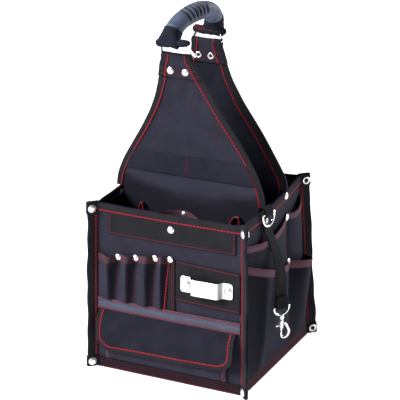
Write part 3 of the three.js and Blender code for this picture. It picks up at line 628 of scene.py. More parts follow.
def build_panels():
    build_panel("near_divider", -PANEL_Y, NEAR_EDGES, "nylon", "near_panel")
    # The far panel is made of the darker nylon: painted shade
    build_panel("far_divider", PANEL_Y, FAR_EDGES, "pocket", "far_panel")
    band = PANEL_BAND
    front = -PANEL_Y - 0.5 * PANEL_T - GAP
    z_rows = np.linspace(band.low, band.high, 12)
    left, right = panel_edges(NEAR_EDGES, z_rows)
    x, z = between(left + band.edge, right - band.edge, z_rows, 40)
    back, face = (panel_at(front, x, z, lift) for lift in (0.0, -band.thick))
    slab("panel_band_cloth", back, face, "band", turn=True, replaces="panel_band", bevel=0.4)
    z = np.linspace(band.tack_z, band.tack_z + band.tack, 12)
    tack = [[panel_at(front, band.tack_x + k, z, -band.thick - lift) for lift in (0, 1)] for k in (-0.7, 0.7)]
    stitches("panel_band_tack", tack, **FINE)


def lip_tape(name, side, s, top, out, height, slot="lip_tape"):
    """Tape folded over a cloth's upper edge; top(s) is the edge and out(s, z) the cloth's lift."""
    high = top(s)
    low, middle = high - height, high - 0.5 * height
    at_low, at_middle, at_high = (out(s, z) for z in (low, middle, high))
    face = CLOTH + 0.4
    ring = [
        (low, at_low - 0.4), (middle, at_middle - 0.4), (high, at_high - 0.4), (high + 0.7, at_high + 0.2),
        (high + 0.7, at_high + CLOTH - 0.2), (high, at_high + face), (middle, at_middle + face),
        (low, at_low + face)]
    loft(name, np.stack([wall(side, s, z, o) for z, o in ring], axis=1), slot, turn=True)
    return [wall_line(side, s, z, out(s, z) + face) for z in (low + 1.3, high - 1.6)]


# Front: tool slots, each a pleat with a crease
SLOT_BOTTOM, SLOT_LIP_LEFT, SLOT_LIP_RIGHT = 118.0, 190.0, 200.0
SLOT_EDGES = (-121.0, -86.0, -55.0, -21.5, 0.7)
SLOT_DEPTHS = (13.0, 12.5, 12.5, 10.0)
SLOT_RISES = (-1.8, 1.8, 5.0, 6.5)
SLOT_TAPE, SLOT_LEAN, SLOT_FLAT = 10.5, 4.5, 2.5
PLEAT_T = (0.0, 0.12, 0.35, 0.55, 0.64, 0.74, 0.86, 0.95, 1.0)
PLEAT_OUT = (0.0, 0.18, 0.62, 0.92, 1.0, 0.72, 0.16, 0.03, 0.0)
PLEAT_LIP = (0.0, 0.12, 0.46, 0.86, 0.98, 1.0, 0.82, 0.16, 0.0)
SLOT_RIVETS = ((-85.6, 189.6), (-54.7, 193.8), (-21.4, 198.5), (4.5, 201.0))
SLOT_STRIP = Sizes(
    left=1.2, right=12.0, high=201.0, thick=2.0, rows=(7.6, 10.6), line=(-5.6, SLOT_BOTTOM, 2.2, 197.0))


def slot_lip(s):
    """The lip's height, with each slot's own rise at its fold."""
    level = np.interp(s, (SLOT_EDGES[0], SLOT_EDGES[-1]), (SLOT_LIP_LEFT, SLOT_LIP_RIGHT))
    for low, high, rise in zip(SLOT_EDGES, SLOT_EDGES[1:], SLOT_RISES):
        level = level + rise * np.interp(s, (low, 0.3 * low + 0.7 * high, high), (0, 1, 0))
    return level


def slot_lean(s, rise):
    """How far the pleats lean to the left below their lips."""
    return SLOT_LEAN * (1 - rise) * clip01((s - SLOT_EDGES[0]) / 40)


def slot_pleat(s, z):
    """The share across a slot, and the lift of its cloth."""
    s, z = np.broadcast_arrays(np.asarray(s, float), z)
    rise = clip01((z - SLOT_BOTTOM) / (slot_lip(s) - SLOT_BOTTOM))
    s = s + slot_lean(s + SLOT_LEAN * (1 - rise), rise)
    k = np.clip(np.searchsorted(SLOT_EDGES, s, side="right") - 1, 0, len(SLOT_DEPTHS) - 1)
    flat = SLOT_FLAT * (0.35 + 0.65 * rise)
    low = np.take(SLOT_EDGES, k) + np.where(k == 0, 0.0, flat)
    high = np.take(SLOT_EDGES, k + 1) - flat
    t = clip01((s - low) / (high - low))
    body, mouth = (
        sum(np.interp(t + k, PLEAT_T, shape) for k in (-0.03, 0, 0.03)) / 3
        for shape in (PLEAT_OUT, PLEAT_LIP))
    pleat = np.where((t > 0) & (t < 1), body + (mouth - body) * clip01((rise - 0.78) / 0.12), 0)
    return t, GAP + 0.94 * np.take(SLOT_DEPTHS, k) * pleat * (0.45 + 0.55 * rise ** 0.7)


def slot_out(s, z):
    return slot_pleat(s, z)[1]


def build_slots():
    s = np.interp(np.linspace(0, 4, 161), range(5), SLOT_EDGES)
    leant, z = upright(s, SLOT_BOTTOM, slot_lip(s), 24)
    leant = leant - slot_lean(leant, column(24))
    cloth = wall_cloth("tool_slot_cloth", "front", leant, z, slot_out, CLOTH, "nylon", replaces="tool_slots")
    # Painted shade on the right face of each pleat, and a little at its left fold
    mark(cloth, "crease", np.interp(slot_pleat(leant, z)[0], (0, 0.66, 0.78, 1), (0.1, 0, 0.45, 0.5)), 2)
    lines = lip_tape("tool_slot_lip", "front", s, slot_lip, slot_out, SLOT_TAPE, "dark_lip")
    for seam in SLOT_EDGES[1:-1]:
        foot = seam - slot_lean(seam, 0.0)
        lines.append(wall_row("front", foot, SLOT_BOTTOM + 2, seam, slot_lip(seam) - 6, GAP + CLOTH + 0.4))
    stitches("tool_slot_stitching", lines, **FINE)
    for k, (x, z) in enumerate(SLOT_RIVETS):
        turned(f"slot_stud_{k + 1}", wall("front", x, z, GAP + CLOTH + 1.4), FORWARD, DOME, 4.8)
    strip = SLOT_STRIP
    grid = spans(strip.left, strip.right, 8, SLOT_BOTTOM, strip.high, 30)
    wall_cloth("slot_strip_tape", "front", *grid, GAP, strip.thick, "webbing", replaces="slot_strip",
               bevel=0.4)
    stitches("slot_strip_line", [wall_row("front", *strip.line, GAP + 2.2)], **BOLD)
    rows = [wall_row("front", x, SLOT_BOTTOM + 1, x, strip.high - 2, GAP + strip.thick) for x in strip.rows]
    stitches("slot_strip_stitching", rows, **FINE)


# Front: the bent clip on its webbing panel
WEB_OUT = GAP + 2
WEB = Sizes(left=14.0, right=121.0, low=(136.3, 132.6), high=(201.2, 196.6), inset=2.6)
CLIP_Z, CLIP_HALF, CLIP_PLATE, CLIP_END = 166.6, 12.8, 1.5, 4.5
CLIP_X = (23.0, 40.0, 43.5, 48.0, 84.0, 88.0, 93.6, 110.0)
CLIP_OUT = (0.0, 0.0, 8.0, 9.5, 9.5, 9.0, 0.0, 0.0)
CLIP_RIVETS = {"left": 32.6, "right": 102.0}
CLIP_SIDE = (88.2, 94.2)


def web_edge(ends, s):
    return np.interp(s, (WEB.left, WEB.right), ends)


def build_clip():
    s = np.linspace(WEB.left, WEB.right, 40)
    grid = upright(s, web_edge(WEB.low, s), web_edge(WEB.high, s), 30)
    wall_cloth("webbing_panel_tape", "front", *grid, GAP, 2.0, "webbing", turn=True, replaces="webbing_panel",
               bevel=0.4)
    s = np.linspace(WEB.left + 2, WEB.right - 2, 60)
    rows = [wall_line("front", s, web_edge(ends, s) + inset, WEB_OUT)
            for ends, inset in ((WEB.low, WEB.inset), (WEB.high, -WEB.inset))]
    stitches("webbing_panel_stitching", rows, 3.6, 0.9, 0.8, 0.45, "fine_thread")
    first, last = CLIP_X[0], CLIP_X[-1]
    x = np.unique([*np.linspace(first, last, 110), *CLIP_X, first + 0.2, first + 0.5, last - 0.2, last - 0.5])
    tip = clip01(np.minimum(x - first, last - x) / CLIP_END)
    half = CLIP_HALF - CLIP_END + CLIP_END * np.sqrt(1 - (1 - tip) ** 2)
    s, z = upright(x, CLIP_Z - half, CLIP_Z + half, 15)
    base = WEB_OUT + GAP
    lift = np.broadcast_to(base + rounded(x, CLIP_X, CLIP_OUT, 1.2), z.shape)
    wall_cloth("tape_clip_plate", "front", s, z, lift, CLIP_PLATE, "chrome", replaces="tape_clip", bevel=0.35)
    # A thin grey sheet over the chrome on the right bend: painted shade
    flank = (x >= CLIP_SIDE[0]) & (x <= CLIP_SIDE[1])
    s, z, lift = (grid[:, flank] for grid in (s, z, lift + CLIP_PLATE - 0.1))
    wall_cloth("tape_clip_flank_shade", "front", s, z, lift, 0.35, "grey_shade_plate")
    for side, x in CLIP_RIVETS.items():
        centre = wall("front", x, CLIP_Z, base + CLIP_PLATE)
        # A grey washer under each rivet: painted shade round its rim
        turned(f"clip_washer_{side}", centre, FORWARD, WASHER, 6.7, "grey_shade_plate")
        turned(f"clip_stud_{side}", centre, FORWARD, DOME, 5.6, replaces=f"clip_rivet_{side}")


# Front: satin band, flap and bellows pouch
BAND = Sizes(left=-121.5, right=121.5, low=100.0, high=117.5, thick=2.2, edge=4.0)
FLAP = Sizes(left=-118.0, right=115.0, top=99.7, bottom=35.0, rise=6.0, corner=28.0, thick=2.0)
FALL_Z, FALL_OUT = (35.0, 60.0, 82.0, 92.0, 99.7), (14.0, 15.0, 12.5, 8.0, 0.4)
FLAP_TAPE_SIDE, FLAP_TAPE_LOW = 8.6, 9.6
POUCH = Sizes(left=-108.0, right=100.0, bottom=17.5, lip=84.0, depth=7.5, fold=9.0)
POUCH_PLEATS = {"left": (POUCH.left + 2, POUCH.left + 6), "right": (POUCH.right - 6.5, POUCH.right - 1.5)}


def flap_at(x, z, lift):
    """A point on the flap, which hangs over the pouch and whose lower edge rises towards the right."""
    share = (x - FLAP.left) / (FLAP.right - FLAP.left)
    z = z + FLAP.rise * share * clip01((FLAP.top - z) / (FLAP.top - FLAP.bottom))
    sway = clip01((FLAP.top - z) / 60) * (0.8 * np.sin(x / 24) + 0.5 * np.sin(x / 51 + z / 17))
    return wall("front", x, z, rounded(z, FALL_Z, FALL_OUT, 3) + sway + lift)


def flap_outline(side_inset, low_inset, count=150):
    """The flap's free edge, from its upper left corner round to its upper right one."""
    left, right = FLAP.left + side_inset, FLAP.right - side_inset
    low, radius = FLAP.bottom + low_inset, FLAP.corner - side_inset
    angle = np.linspace(0, 0.5 * pi, 16)
    turn_left = [(left + radius - radius * cos(a), 0, low + radius - radius * sin(a)) for a in angle]
    turn_right = [(right - radius + radius * sin(a), 0, low + radius - radius * cos(a)) for a in angle]
    path = np.array([(left, 0, FLAP.top - 0.5), *turn_left, *turn_right, (right, 0, FLAP.top - 0.5)])
    return even_steps(path, count)[:, ::2].T


def ease(t):
    return np.sin(0.5 * pi * clip01(t))


def pouch_out(s, z):
    side = ease(np.minimum(s - POUCH.left, POUCH.right - s) / POUCH.fold)
    sag = 0.7 * np.sin(s / 19 + 1) * ease((z - POUCH.bottom) / 30)
    return GAP + (POUCH.depth + sag) * side * ease((z - POUCH.bottom) / (1.5 * POUCH.fold))


def build_band():
    grid = spans(BAND.left, BAND.right, 60, BAND.low, BAND.high, 9)
    wall_cloth("satin_band_cloth", "front", *grid, GAP, BAND.thick, "satin", turn=True, replaces="satin_band",
               bevel=0.5)
    rows = []
    top = GAP + BAND.thick
    for label, low in (("low", BAND.low - 0.2), ("high", BAND.high + 0.2 - BAND.edge)):
        grid = spans(BAND.left - 0.3, BAND.right + 0.3, 60, low, low + BAND.edge, 4)
        wall_cloth(f"satin_edge_{label}", "front", *grid, top - 0.5, 1.0, "lip_tape", turn=True, bevel=0.3)
        middle = low + 0.5 * BAND.edge
        rows.append(wall_row("front", BAND.left + 1, middle, BAND.right - 1, middle, top + 0.5))
    stitches("satin_band_stitching", rows, 3.2, 1.0, 0.55, 0.4, "fine_thread")


def build_flap():
    t = np.linspace(0, 1, 61)
    x = FLAP.left + (FLAP.right - FLAP.left) * (0.4 * t + 0.6 * (0.5 - 0.5 * np.cos(pi * t)))
    short = np.clip(FLAP.corner - np.minimum(x - FLAP.left, FLAP.right - x), 0, None)
    edge = FLAP.bottom + FLAP.corner - np.sqrt(FLAP.corner ** 2 - short ** 2)
    grid = upright(x, FLAP.top, edge, 30)
    thick = FLAP.thick
    cover = slab("flap_cloth", flap_at(*grid, 0.0), flap_at(*grid, thick), "pocket", replaces="flap")
    insets = ((-0.5, -0.5), (0.3, 0.3), (FLAP_TAPE_SIDE, FLAP_TAPE_LOW))
    outside, near, inside = (flap_outline(*inset) for inset in insets)
    ring = [flap_at(*outside, 0.5 * thick), flap_at(*near, thick + 0.5), flap_at(*inside, thick + 0.5),
            flap_at(*inside, -0.3), flap_at(*near, -0.3)]
    tape = loft("flap_edge", np.stack(ring, axis=1), "binding", turn=True)
    line = flap_outline(FLAP_TAPE_SIDE - 1, FLAP_TAPE_LOW - 1.2)
    seam = stitches("flap_stitching", [(flap_at(*line, thick + 0.5), flap_at(*line, thick + 1.5))], **BOLD)

    grid = spans(POUCH.left, POUCH.right, 80, POUCH.bottom, POUCH.lip, 16)
    wall_cloth("flap_pouch", "front", *grid, pouch_out, CLOTH, "nylon", replaces="flap_pocket")
    rows = []
    for label, (s0, s1) in POUCH_PLEATS.items():
        grid = spans(s0, s1, 6, POUCH.bottom + 0.3, POUCH.lip, 12)
        lift = pouch_out(*grid) + CLOTH - 0.3
        wall_cloth(f"pouch_pleat_{label}", "front", *grid, lift, 0.8, "lip_tape", bevel=0.2)
        middle, z = 0.5 * (s0 + s1), np.linspace(POUCH.bottom + 1, POUCH.lip - 2, 40)
        rows.append(wall_line("front", middle, z, pouch_out(middle, z) + CLOTH + 0.5))
    stitches("pouch_stitching", rows, **FINE)
    return cover, tape, seam


# Front: hook strip under the rim, and the pocket inside the wall
STRIP = Sizes(left=-103.0, right=114.0, low=224.5, high=RIM_Z - RIM_BAND - GAP, stud=(5.0, 248.0))
INNER = Sizes(left=-36.0, right=52.0, low=120.0, lip=266.0, depth=33.0, tape=10.0, stud=(9.3, 262.5))
TAPE_LOOPS = {"left": ((-88.5, 232), (-87.5, 245), (-85, 251), (-82, 248), (-80.5, 232)),
              "right": ((66, 232), (66.5, 244), (72, 251.5), (80, 252), (82, 244), (82, 232))}
TAPE_LOOP_Y = -PANEL_Y - 5.0


def inner_bulge(s):
    return np.sin(pi * clip01((s - INNER.left) / (INNER.right - INNER.left)))


def inner_lip(s):
    return INNER.lip - 10 * clip01(1 - inner_bulge(s) / 0.3) + 0.6 * np.sin(s / 7)


def inner_out(s, z):
    rise = (z - INNER.low) / (INNER.lip - INNER.low)
    return -WALL - GAP - CLOTH - INNER.depth * inner_bulge(s) * rise


def build_front():
    grid = spans(STRIP.left, STRIP.right, 60, STRIP.low, STRIP.high, 12)
    wall_cloth("hook_strip_tape", "front", *grid, GAP, CLOTH, "webbing", turn=True, replaces="hook_strip",
               bevel=0.3)
    left, right, low, high = STRIP.left + 2, STRIP.right - 3, STRIP.low + 2, STRIP.high - 1
    top = GAP + CLOTH
    corners = ((left, high), (left, low), (right, low), (right, high))
    rows = [wall_row("front", *a, *b, top) for a, b in zip(corners, corners[1:])]
    stitches("hook_strip_stitching", rows, 3.4, 1.1, 0.75, 0.5, "fine_thread")
    turned("strip_stud", wall("front", *STRIP.stud, top + 0.1), FORWARD, DOME, 5.4, replaces="strip_rivet")
    build_slots()
    build_clip()
    s = np.linspace(INNER.left, INNER.right, 41)
    grid = upright(s, INNER.low, inner_lip(s), 20)
    wall_cloth("inner_pocket_cloth", "front", *grid, inner_out, CLOTH, "nylon", replaces="inner_pocket")
    lines = lip_tape("inner_pocket_lip", "front", s, inner_lip, inner_out, INNER.tape, "dark_lip")
    stitches("inner_pocket_stitching", lines, **FINE)
    centre = wall("front", *INNER.stud, inner_out(*INNER.stud) + CLOTH + 0.4)
    turned("inner_pocket_stud", centre, (0, -1, 0.1), DOME, 3.6)
    lines = []
    for side, run in TAPE_LOOPS.items():
        path = smooth_path([(x, TAPE_LOOP_Y, z) for x, z in run], 40)
        loft(f"tape_loop_{side}", rings(path, FORWARD, 3.0, 0.8, sides=10), "lip_tape", turn=True)
        lines.append((path - (0, 2.9, 0), path - (0, 3.9, 0)))
    stitches("tape_loop_stitching", lines, 3.0, 0.5, 0.8, 0.4)


# Right wall: two rows of pockets, each with a near and a far one
POCKET_BOTTOM, POCKET_SEAM, POCKET_SEAM_TOP = BASE_BAND + 0.5, 44.5, 224.0
RIDGE = Sizes(s=-74.0, width=13.0, low=10.0, height=180.0)
# Each shape's last entry is a strip of painted shade down the pocket's cloth: its centre, width and depth
# along the wall
POCKETS = (
    Sizes(name="near", start=-117.0, end=44.0,
          upper=Sizes(left=236.0, right=232.0, sag=7.5, depth=9.0, skew=1.0, flank=(1.0, 1.0),
                      tape=9.5, crease=(-90.0, 20.0, 0.25)),
          lower=Sizes(left=205.0, right=157.0, sag=5.0, depth=10.0, skew=0.7, flank=(0.1, 0.26), ridge=6.0,
                      tape=12.0, crease=(-94.0, 17.0, 0.75))),
    Sizes(name="far", start=45.0, end=117.0,
          upper=Sizes(left=236.0, right=243.0, sag=7.0, depth=9.0, skew=1.0, flank=(1.0, 1.0),
                      tape=9.5, crease=(110.0, 8.0, 0.2)),
          lower=Sizes(left=157.0, right=141.0, sag=0.0, depth=20.0, skew=1.5, flank=(1.0, 1.0), ridge=0.0,
                      tape=12.0, crease=(62.0, 13.0, 0.75))),
)
LEFT_STUD = (-42.0, 261.0)
POCKET_STUDS = ((POCKET_SEAM, 230.5, 3.0), (POCKET_SEAM, 156.0, 3.4), (47.0, 264.5, 2.2))


def build_pocket(pocket):
    def along(s):
        return clip01((s - pocket.start) / (pocket.end - pocket.start))

    def lip(shape, s):
        return shape.left + (shape.right - shape.left) * along(s) - shape.sag * np.sin(pi * along(s))

    def bulge(shape, s, z, power, fold):
        side = clip01(np.sin(pi * along(s) ** shape.skew)) ** 0.7
        side = side * clip01(shape.flank[0] + along(s) / shape.flank[1])
        rise = clip01((z - POCKET_BOTTOM) / (lip(shape, s) - POCKET_BOTTOM))
        return (shape.depth * rise ** power + fold * np.sin(pi * rise)) * side

    def upper(s, z):
        return GAP + bulge(pocket.upper, s, z, 1.0, 0.8 * np.sin(s / 15 + z / 33))

    def lower(s, z):
        ridge = pocket.lower.ridge * np.exp(-((s - RIDGE.s) / RIDGE.width) ** 2)
        ridge = ridge * np.sin(pi * clip01((z - RIDGE.low) / RIDGE.height))
        bulged = bulge(pocket.lower, s, z, 1.2, 0.9 * np.sin(s / 11 - z / 60))
        return upper(s, z) + CLOTH + GAP + ridge + bulged

    lines = []
    s = np.linspace(pocket.start, pocket.end, 49)
    for level, shape, out in (("upper", pocket.upper, upper), ("lower", pocket.lower, lower)):
        name = f"{level}_pocket_{pocket.name}"
        grid = upright(s, POCKET_BOTTOM, lip(shape, s), 40)
        cloth = wall_cloth(f"{name}_cloth", "right", *grid, out, CLOTH, "pocket", replaces=name)
        # A strip of painted shade down the pocket's cloth, fading in just above its foot
        centre, width, depth = shape.crease
        mark(cloth, "crease", depth * np.exp(-((s - centre) / width) ** 2) * clip01(column(40) / 0.1), 2)
        lines += lip_tape(f"{name}_lip", "right", s, lambda s: lip(shape, s), out, shape.tape)
    return lines


def build_side():
    lines = [line for pocket in POCKETS for line in build_pocket(pocket)]
    lines.append(wall_row("right", POCKET_SEAM, POCKET_BOTTOM + 3, POCKET_SEAM, POCKET_SEAM_TOP, 2.6, 90))
    stitches("side_pocket_stitching", lines, **FINE)
    for k, spot in enumerate(POCKET_STUDS):
        turned(f"side_stud_{k + 1}", wall("right", *spot), RIGHT, DOME, 5.6)
    turned("side_stud_left", wall("left", *LEFT_STUD, -WALL - GAP - BINDING), RIGHT, DOME, 6.2)


# Hanging strap, its D-ring in a tab at the rim, and the swivel snap hook
STRAP_HALF, STRAP_T, STRAP_LEAN, TAB_HALF = 10.5, 2.0, -5.0, 8.0
LEAN_START, LEAN_REACH = 45.0, 75.0
STRAP_STUD = (125.3, -45.5, 254.0)
EYE = Sizes(x=149.5, y=-40.5, z=116.7, wire=1.7, half=13.9, drop=13.0, yaw=0.56)
RING = Sizes(x=129.0, y=-48.0, z=267.5, wire=2.0, half=14.5, drop=20.0, yaw=0.21)


def round_bar(bar, radius):
    """A turn of webbing under a bar, from its inner side to its outer one."""
    angle = np.linspace(pi, 2 * pi, 14)
    return [(bar.x + radius * cos(a), bar.z + radius * sin(a), 1.0) for a in angle]


# Each run down the side: x, z and the share of the bar's yaw that the webbing has turned by
STRAP_RUN = (
    (123.6, 260, 0), (124, 252, 0), (125.6, 243, 0), (129.6, 234, 0.05), (134, 225, 0.1), (139.4, 208, 0.25),
    (144.2, 192, 0.4), (147.4, 177, 0.5), (148.4, 165, 0.6), (148.6, 155, 0.75), (148, 145, 0.9),
    (147, 135, 1), (146.4, 124, 1), *round_bar(EYE, 3.2), (151.3, 124, 1), (149.8, 134, 1))
TAB_RUN = (
    (123.4, 277.4, 0.6), (125, 272.4, 0.9), *round_bar(RING, 3.4), (131, 272.4, 1), (128, 276.4, 1),
    (125.4, 279, 0.8))
# The turn goes through the smooth curve as a length, so that it eases as the run does
TURN_LENGTH = 60.0


def turned_about(points, bar, angle):
    """Points given from the bar's upright axis, turned by an angle and set at the bar."""
    c, s = np.cos(angle), np.sin(angle)
    x, y, z = np.moveaxis(points, -1, 0)
    return xyz(bar.x + x * c + y * s, bar.y - x * s + y * c, z)


def webbing_run(name, run, bar, half, replaced, count, lean=0.0):
    """Flat webbing along a run, turning about the upright axis of its bar and leaning aside high above it."""
    path = smooth_path([(x - bar.x, TURN_LENGTH * turn, z) for x, z, turn in run], count)
    turn = bar.yaw * path[:, 1] / TURN_LENGTH
    path[:, 1] = lean * clip01((path[:, 2] - bar.z - LEAN_START) / LEAN_REACH)
    tangent = tangents(path)
    normal = xyz(-tangent[:, 2], 0.0, tangent[:, 0])
    across = np.linspace(-half, half, 11)
    crown = 0.25 * np.cos(0.5 * pi * across / half) - 0.25
    middle = path[:, None] + across[:, None] * np.array((0.0, 1.0, 0.0))
    faces = [middle + normal[:, None] * (way * (0.5 * STRAP_T + crown))[:, None] for way in (-1, 1)]
    faces = [turned_about(face, bar, turn[:, None]) for face in faces]
    slab(name, *faces, "webbing", replaces=replaced, bevel=0.4)


def wire_loop(name, shape, **options):
    """A D-shaped wire loop: a straight bar with a bow below it."""
    half, low = shape.half, 1.33 * shape.drop
    t = column(60)
    a, b, c, d = np.array(((0, half, 0), (0, half, -low), (0, -half, -low), (0, -half, 0)))
    curve = a * (1 - t) ** 3 + 3 * b * t * (1 - t) ** 2 + 3 * c * t ** 2 * (1 - t) + d * t ** 3
    loop = even_steps(np.concatenate([curve, curve[:1]]), 64, closed=True)
    path = turned_about(loop, shape, shape.yaw) + (0, 0, shape.z)
    facing = (cos(shape.yaw), -sin(shape.yaw), 0.0)
    loft(name, rings(path, facing, shape.wire, sides=14, closed=True), "chrome", closed=True, **options)


SNAP_AXIS = np.array([EYE.x, EYE.y, 0.0])
HOOK_SIDE = unit(np.array([0.9, 0.436, 0.0]))
HOOK_RUN = (
    (3.0, 91.6), (6, 88.4), (9.6, 83), (11.4, 77), (10, 71), (5.6, 66.8), (1.5, 67), (-0.2, 70), (0, 76))
HOOK_T, HOOK_WIRE = (0, 0.06, 0.15, 0.45, 0.7, 0.9, 1), (0.8, 1.7, 2.1, 2.4, 2.3, 2.0, 1.8)
# Turned bodies on the snap's axis, as radius and height pairs
COLLAR = (
    (2.7, 97.5), (4.0, 97.5), (4.3, 98.3), (4.3, 100.2), (3.9, 101.4), (3.9, 103.2), (3.4, 104.4),
    (2.4, 104.8))
BARREL = (
    (0.1, 93.6), (2.3, 93.6), (2.3, 82), (3.3, 82), (3.5, 82.8), (3.3, 88), (3.4, 93.4), (2.9, 95),
    (2.1, 95.8), (2.1, 101.8), (1.2, 102))
BOLT = ((0.6, 76.4), (1.7, 77), (1.8, 81), (1.8, 87.4), (0.5, 87.5))
STUD_Z = 85.2
STUD = ((0.5, -0.5), (1.3, -0.5), (1.3, -5.4), (2.3, -5.7), (2.3, -7.7), (1.7, -8.1), (0.2, -8.2))


def build_strap():
    webbing_run("strap_webbing", STRAP_RUN, EYE, STRAP_HALF, "strap", 150, STRAP_LEAN)
    webbing_run("ring_tab_webbing", TAB_RUN, RING, TAB_HALF, "d_ring_tab", 70)
    wire_loop("d_ring_wire", RING, body="d_ring", replaces="d_ring")
    turned("strap_stud", STRAP_STUD, (1, 0, 0.05), DOME, 4.6)

    wire_loop("snap_eye_wire", EYE, replaces="snap_eye")
    turned("snap_collar", SNAP_AXIS, UP, COLLAR, 1.0)
    path = smooth_path([SNAP_AXIS + HOOK_SIDE * side + (0, 0, z) for side, z in HOOK_RUN], 60)
    wire = np.interp(np.linspace(0, 1, 60), HOOK_T, HOOK_WIRE)
    sections = rings(path, np.cross(HOOK_SIDE, UP), wire, 0.95 * wire, sides=16)
    loft("snap_hook_wire", sections, "chrome", body="snap_hook", replaces="snap_hook")
    turned("snap_barrel", SNAP_AXIS, UP, BARREL, 1.0, body="snap_hook")
    turned("snap_bolt_pin", SNAP_AXIS, UP, BOLT, 1.0, body="snap_bolt", replaces="snap_bolt")
    turned("snap_bolt_stud", SNAP_AXIS + (0, 0, STUD_Z), HOOK_SIDE, STUD, 1.0, "chrome", body="snap_bolt")


# Handle: each panel folds over a wire ring, and the grip's cloth ends fold round the rings
ENDS = (
    Sizes(
        name="near", bar=(-22.0, -42.0, 490.5), bar_half=29.0, roll=(-25.0, -56.0, 513.6), lip=-9.0,
        tilt=2.4, thin=1.6, fold=(-49.5, -1.0), tape=(12.0, 10.0), studs=(-34.6, -9.9), stud_z=467.7,
        shape=DOME, rows=(462.5, 471.0), edges=NEAR_EDGES, start=0.025, away=-1),
    Sizes(
        name="far", bar=(-15.0, 42.0, 494.5), bar_half=26.0, roll=(-18.0, 55.0, 507.5), lip=7.0,
        tilt=0.0, thin=0.0, fold=(-40.0, 9.0), tape=(10.0, 13.0), studs=(-28.3, -7.3), stud_z=472.3,
        shape=EYELET, rows=(466.3, 477.6), edges=FAR_EDGES, start=0.91, away=1))
WIRE, RING_CORNER, RING_TOP_HALF = 2.25, 6.0, 19.0
FOLD_LEG = 26.0
GRIP_PATH = (
    (-29, -47, 528), (-28.5, -44, 532), (-25, -32, 540.5), (-20, -16, 546.5), (-14.6, 2, 549.6),
    (-10.6, 18, 549), (-8, 34, 544.5), (-7.6, 47, 535.5), (-9.4, 54, 525), (-10, 55, 521))
GRIP_RADIUS, GRIP_STEPS, GRIP_SIDES = 13.6, 260, 48
GRIP_CENTRE = np.array([-16.0, 4.0, 490.0])
RIBS = Sizes(first=0.215, last=0.585, count=6, depth=4.4, power=4)
SLEEVE_T = (0.0, 0.2, 0.42, 0.62, 0.8, 0.92, 1.0)
SLEEVE_WIDE = (14.6, 14.6, 15.2, 16.4, 17.6, 18.4, 18.0)
SLEEVE_DEEP = (14.6, 13.6, 11.4, 8.6, 7.2, 6.4, 4.5)
ROLL_RADIUS, ROLL_HALF = 6.6, 28.5
ROLL_ROWS = (12, 32, 52, 72, 92)
SEWN_SLEEVE = "far"


def rounded_loop(corners, radius):
    """A closed path through corners, cut off by curves."""
    t = column(12)
    points = []
    for k, corner in enumerate(corners):
        others = (corners[k - 1], corners[(k + 1) % 4])
        a, b = (corner + unit(other - corner) * 1.6 * radius for other in others)
        points.append(a * (1 - t) ** 2 + 2 * corner * t * (1 - t) + b * t ** 2)
    return even_steps(np.concatenate([*points, points[0][:1]]), 160, closed=True)


def build_fold(end):
    """The panel's top, folded over the ring's bar, with its bound edges and stitched lines."""
    _, bar_y, bar_z = end.bar
    top = end.edges[-1, 0]
    leg, low, bend = 0.5 * PANEL_T + GAP + 1.0, top - FOLD_LEG, WIRE + 1.5
    arc = [(-cos(a) * bend, bar_z + sin(a) * bend) for a in np.radians(np.linspace(-35, 215, 26))]
    heights = (low, low + 12, bar_z - 7)
    profile = np.array([*((-leg, z) for z in heights), *arc, *((leg, z) for z in heights[::-1])])
    path = even_steps(np.insert(profile, 0, 0.0, axis=1), 90)
    tangent = tangents(path)
    normal = xyz(0.0, -tangent[:, 2], tangent[:, 1])
    high = clip01((path[:, 2] - top + 6) / 10)
    edges = panel_edges(end.edges, np.minimum(path[:, 2], top))
    left, right = (edge + (fold - edge) * high for edge, fold in zip(edges, end.fold))

    def at(inset, side, lift):
        return path + normal * lift + xyz(left + inset if side == "left" else right - inset, bar_y, 0.0)

    def strip(first, last, lift, columns):
        share = column(columns)
        return at(*first, lift)[:, None] * (1 - share) + at(*last, lift)[:, None] * share

    name = f"panel_fold_{end.name}"
    faces = [strip((0, "left"), (0, "right"), lift, 24) for lift in (-1.0, 1.0)]
    slab(name, *faces, "nylon", replaces=f"panel_loop_{end.name}", bevel=0.4)
    rows = []
    for side, tape in zip(("left", "right"), end.tape):
        faces = [strip((-0.6, side), (tape, side), lift, 5) for lift in (-1.2, 1.45)]
        slab(f"{name}_edge_{side}", *faces, "binding", turn=True, bevel=0.4)
        rows.append((at(tape - 0.6, side, 1.45), at(tape - 0.6, side, 2.45)))
    stitches(f"{name}_lines", rows, **BOLD)
    front = bar_y - leg - 1.0
    rows = []
    for z in end.rows:
        first, last = panel_edges(end.edges, min(z, top))
        rows.append([xyz(np.linspace(first + 1, last - 1, 30), front - 0.5 - lift, z) for lift in (0, 1)])
    stitches(f"{name}_rows", rows, **FINE)
    for k, x in enumerate(end.studs):
        turned(f"{name}_stud_{k + 1}", (x, front, end.stud_z), FORWARD, end.shape, 5.3)
        turned(f"{name}_cap_{k + 1}", (x, bar_y + leg + 1.0, end.stud_z), (0, 1, 0), DOME, 6.0)


def build_grip():
    path = smooth_path(GRIP_PATH, GRIP_STEPS)
    t = column(GRIP_STEPS)
    within = (t - RIBS.first) / (RIBS.last - RIBS.first)
    groove = np.where((within > 0) & (within < 1), np.sin(pi * RIBS.count * within) ** RIBS.power, 0)
    angle = around(GRIP_SIDES)
    groove = groove * clip01((np.cos(angle - 0.2) + 0.25) / 0.6)
    swell = 0.7 * clip01(np.sin(pi * clip01(within))) ** 0.5
    first, last = (end.start for end in ENDS)
    tuck = np.interp(t, (first - 0.01, first + 0.01, last - 0.01, last + 0.01), (0.84, 1, 1, 0.84))
    radius = (GRIP_RADIUS + swell - RIBS.depth * groove) * tuck
    sections = rings(path, path - GRIP_CENTRE, radius, sides=GRIP_SIDES)
    grip = loft("grip_moulding", sections, "grip_rubber", replaces="handle_grip")
    # The grooves' depth also goes to the grip's material as painted shade
    mark(grip, "groove", groove)
    return path, tangents(path)


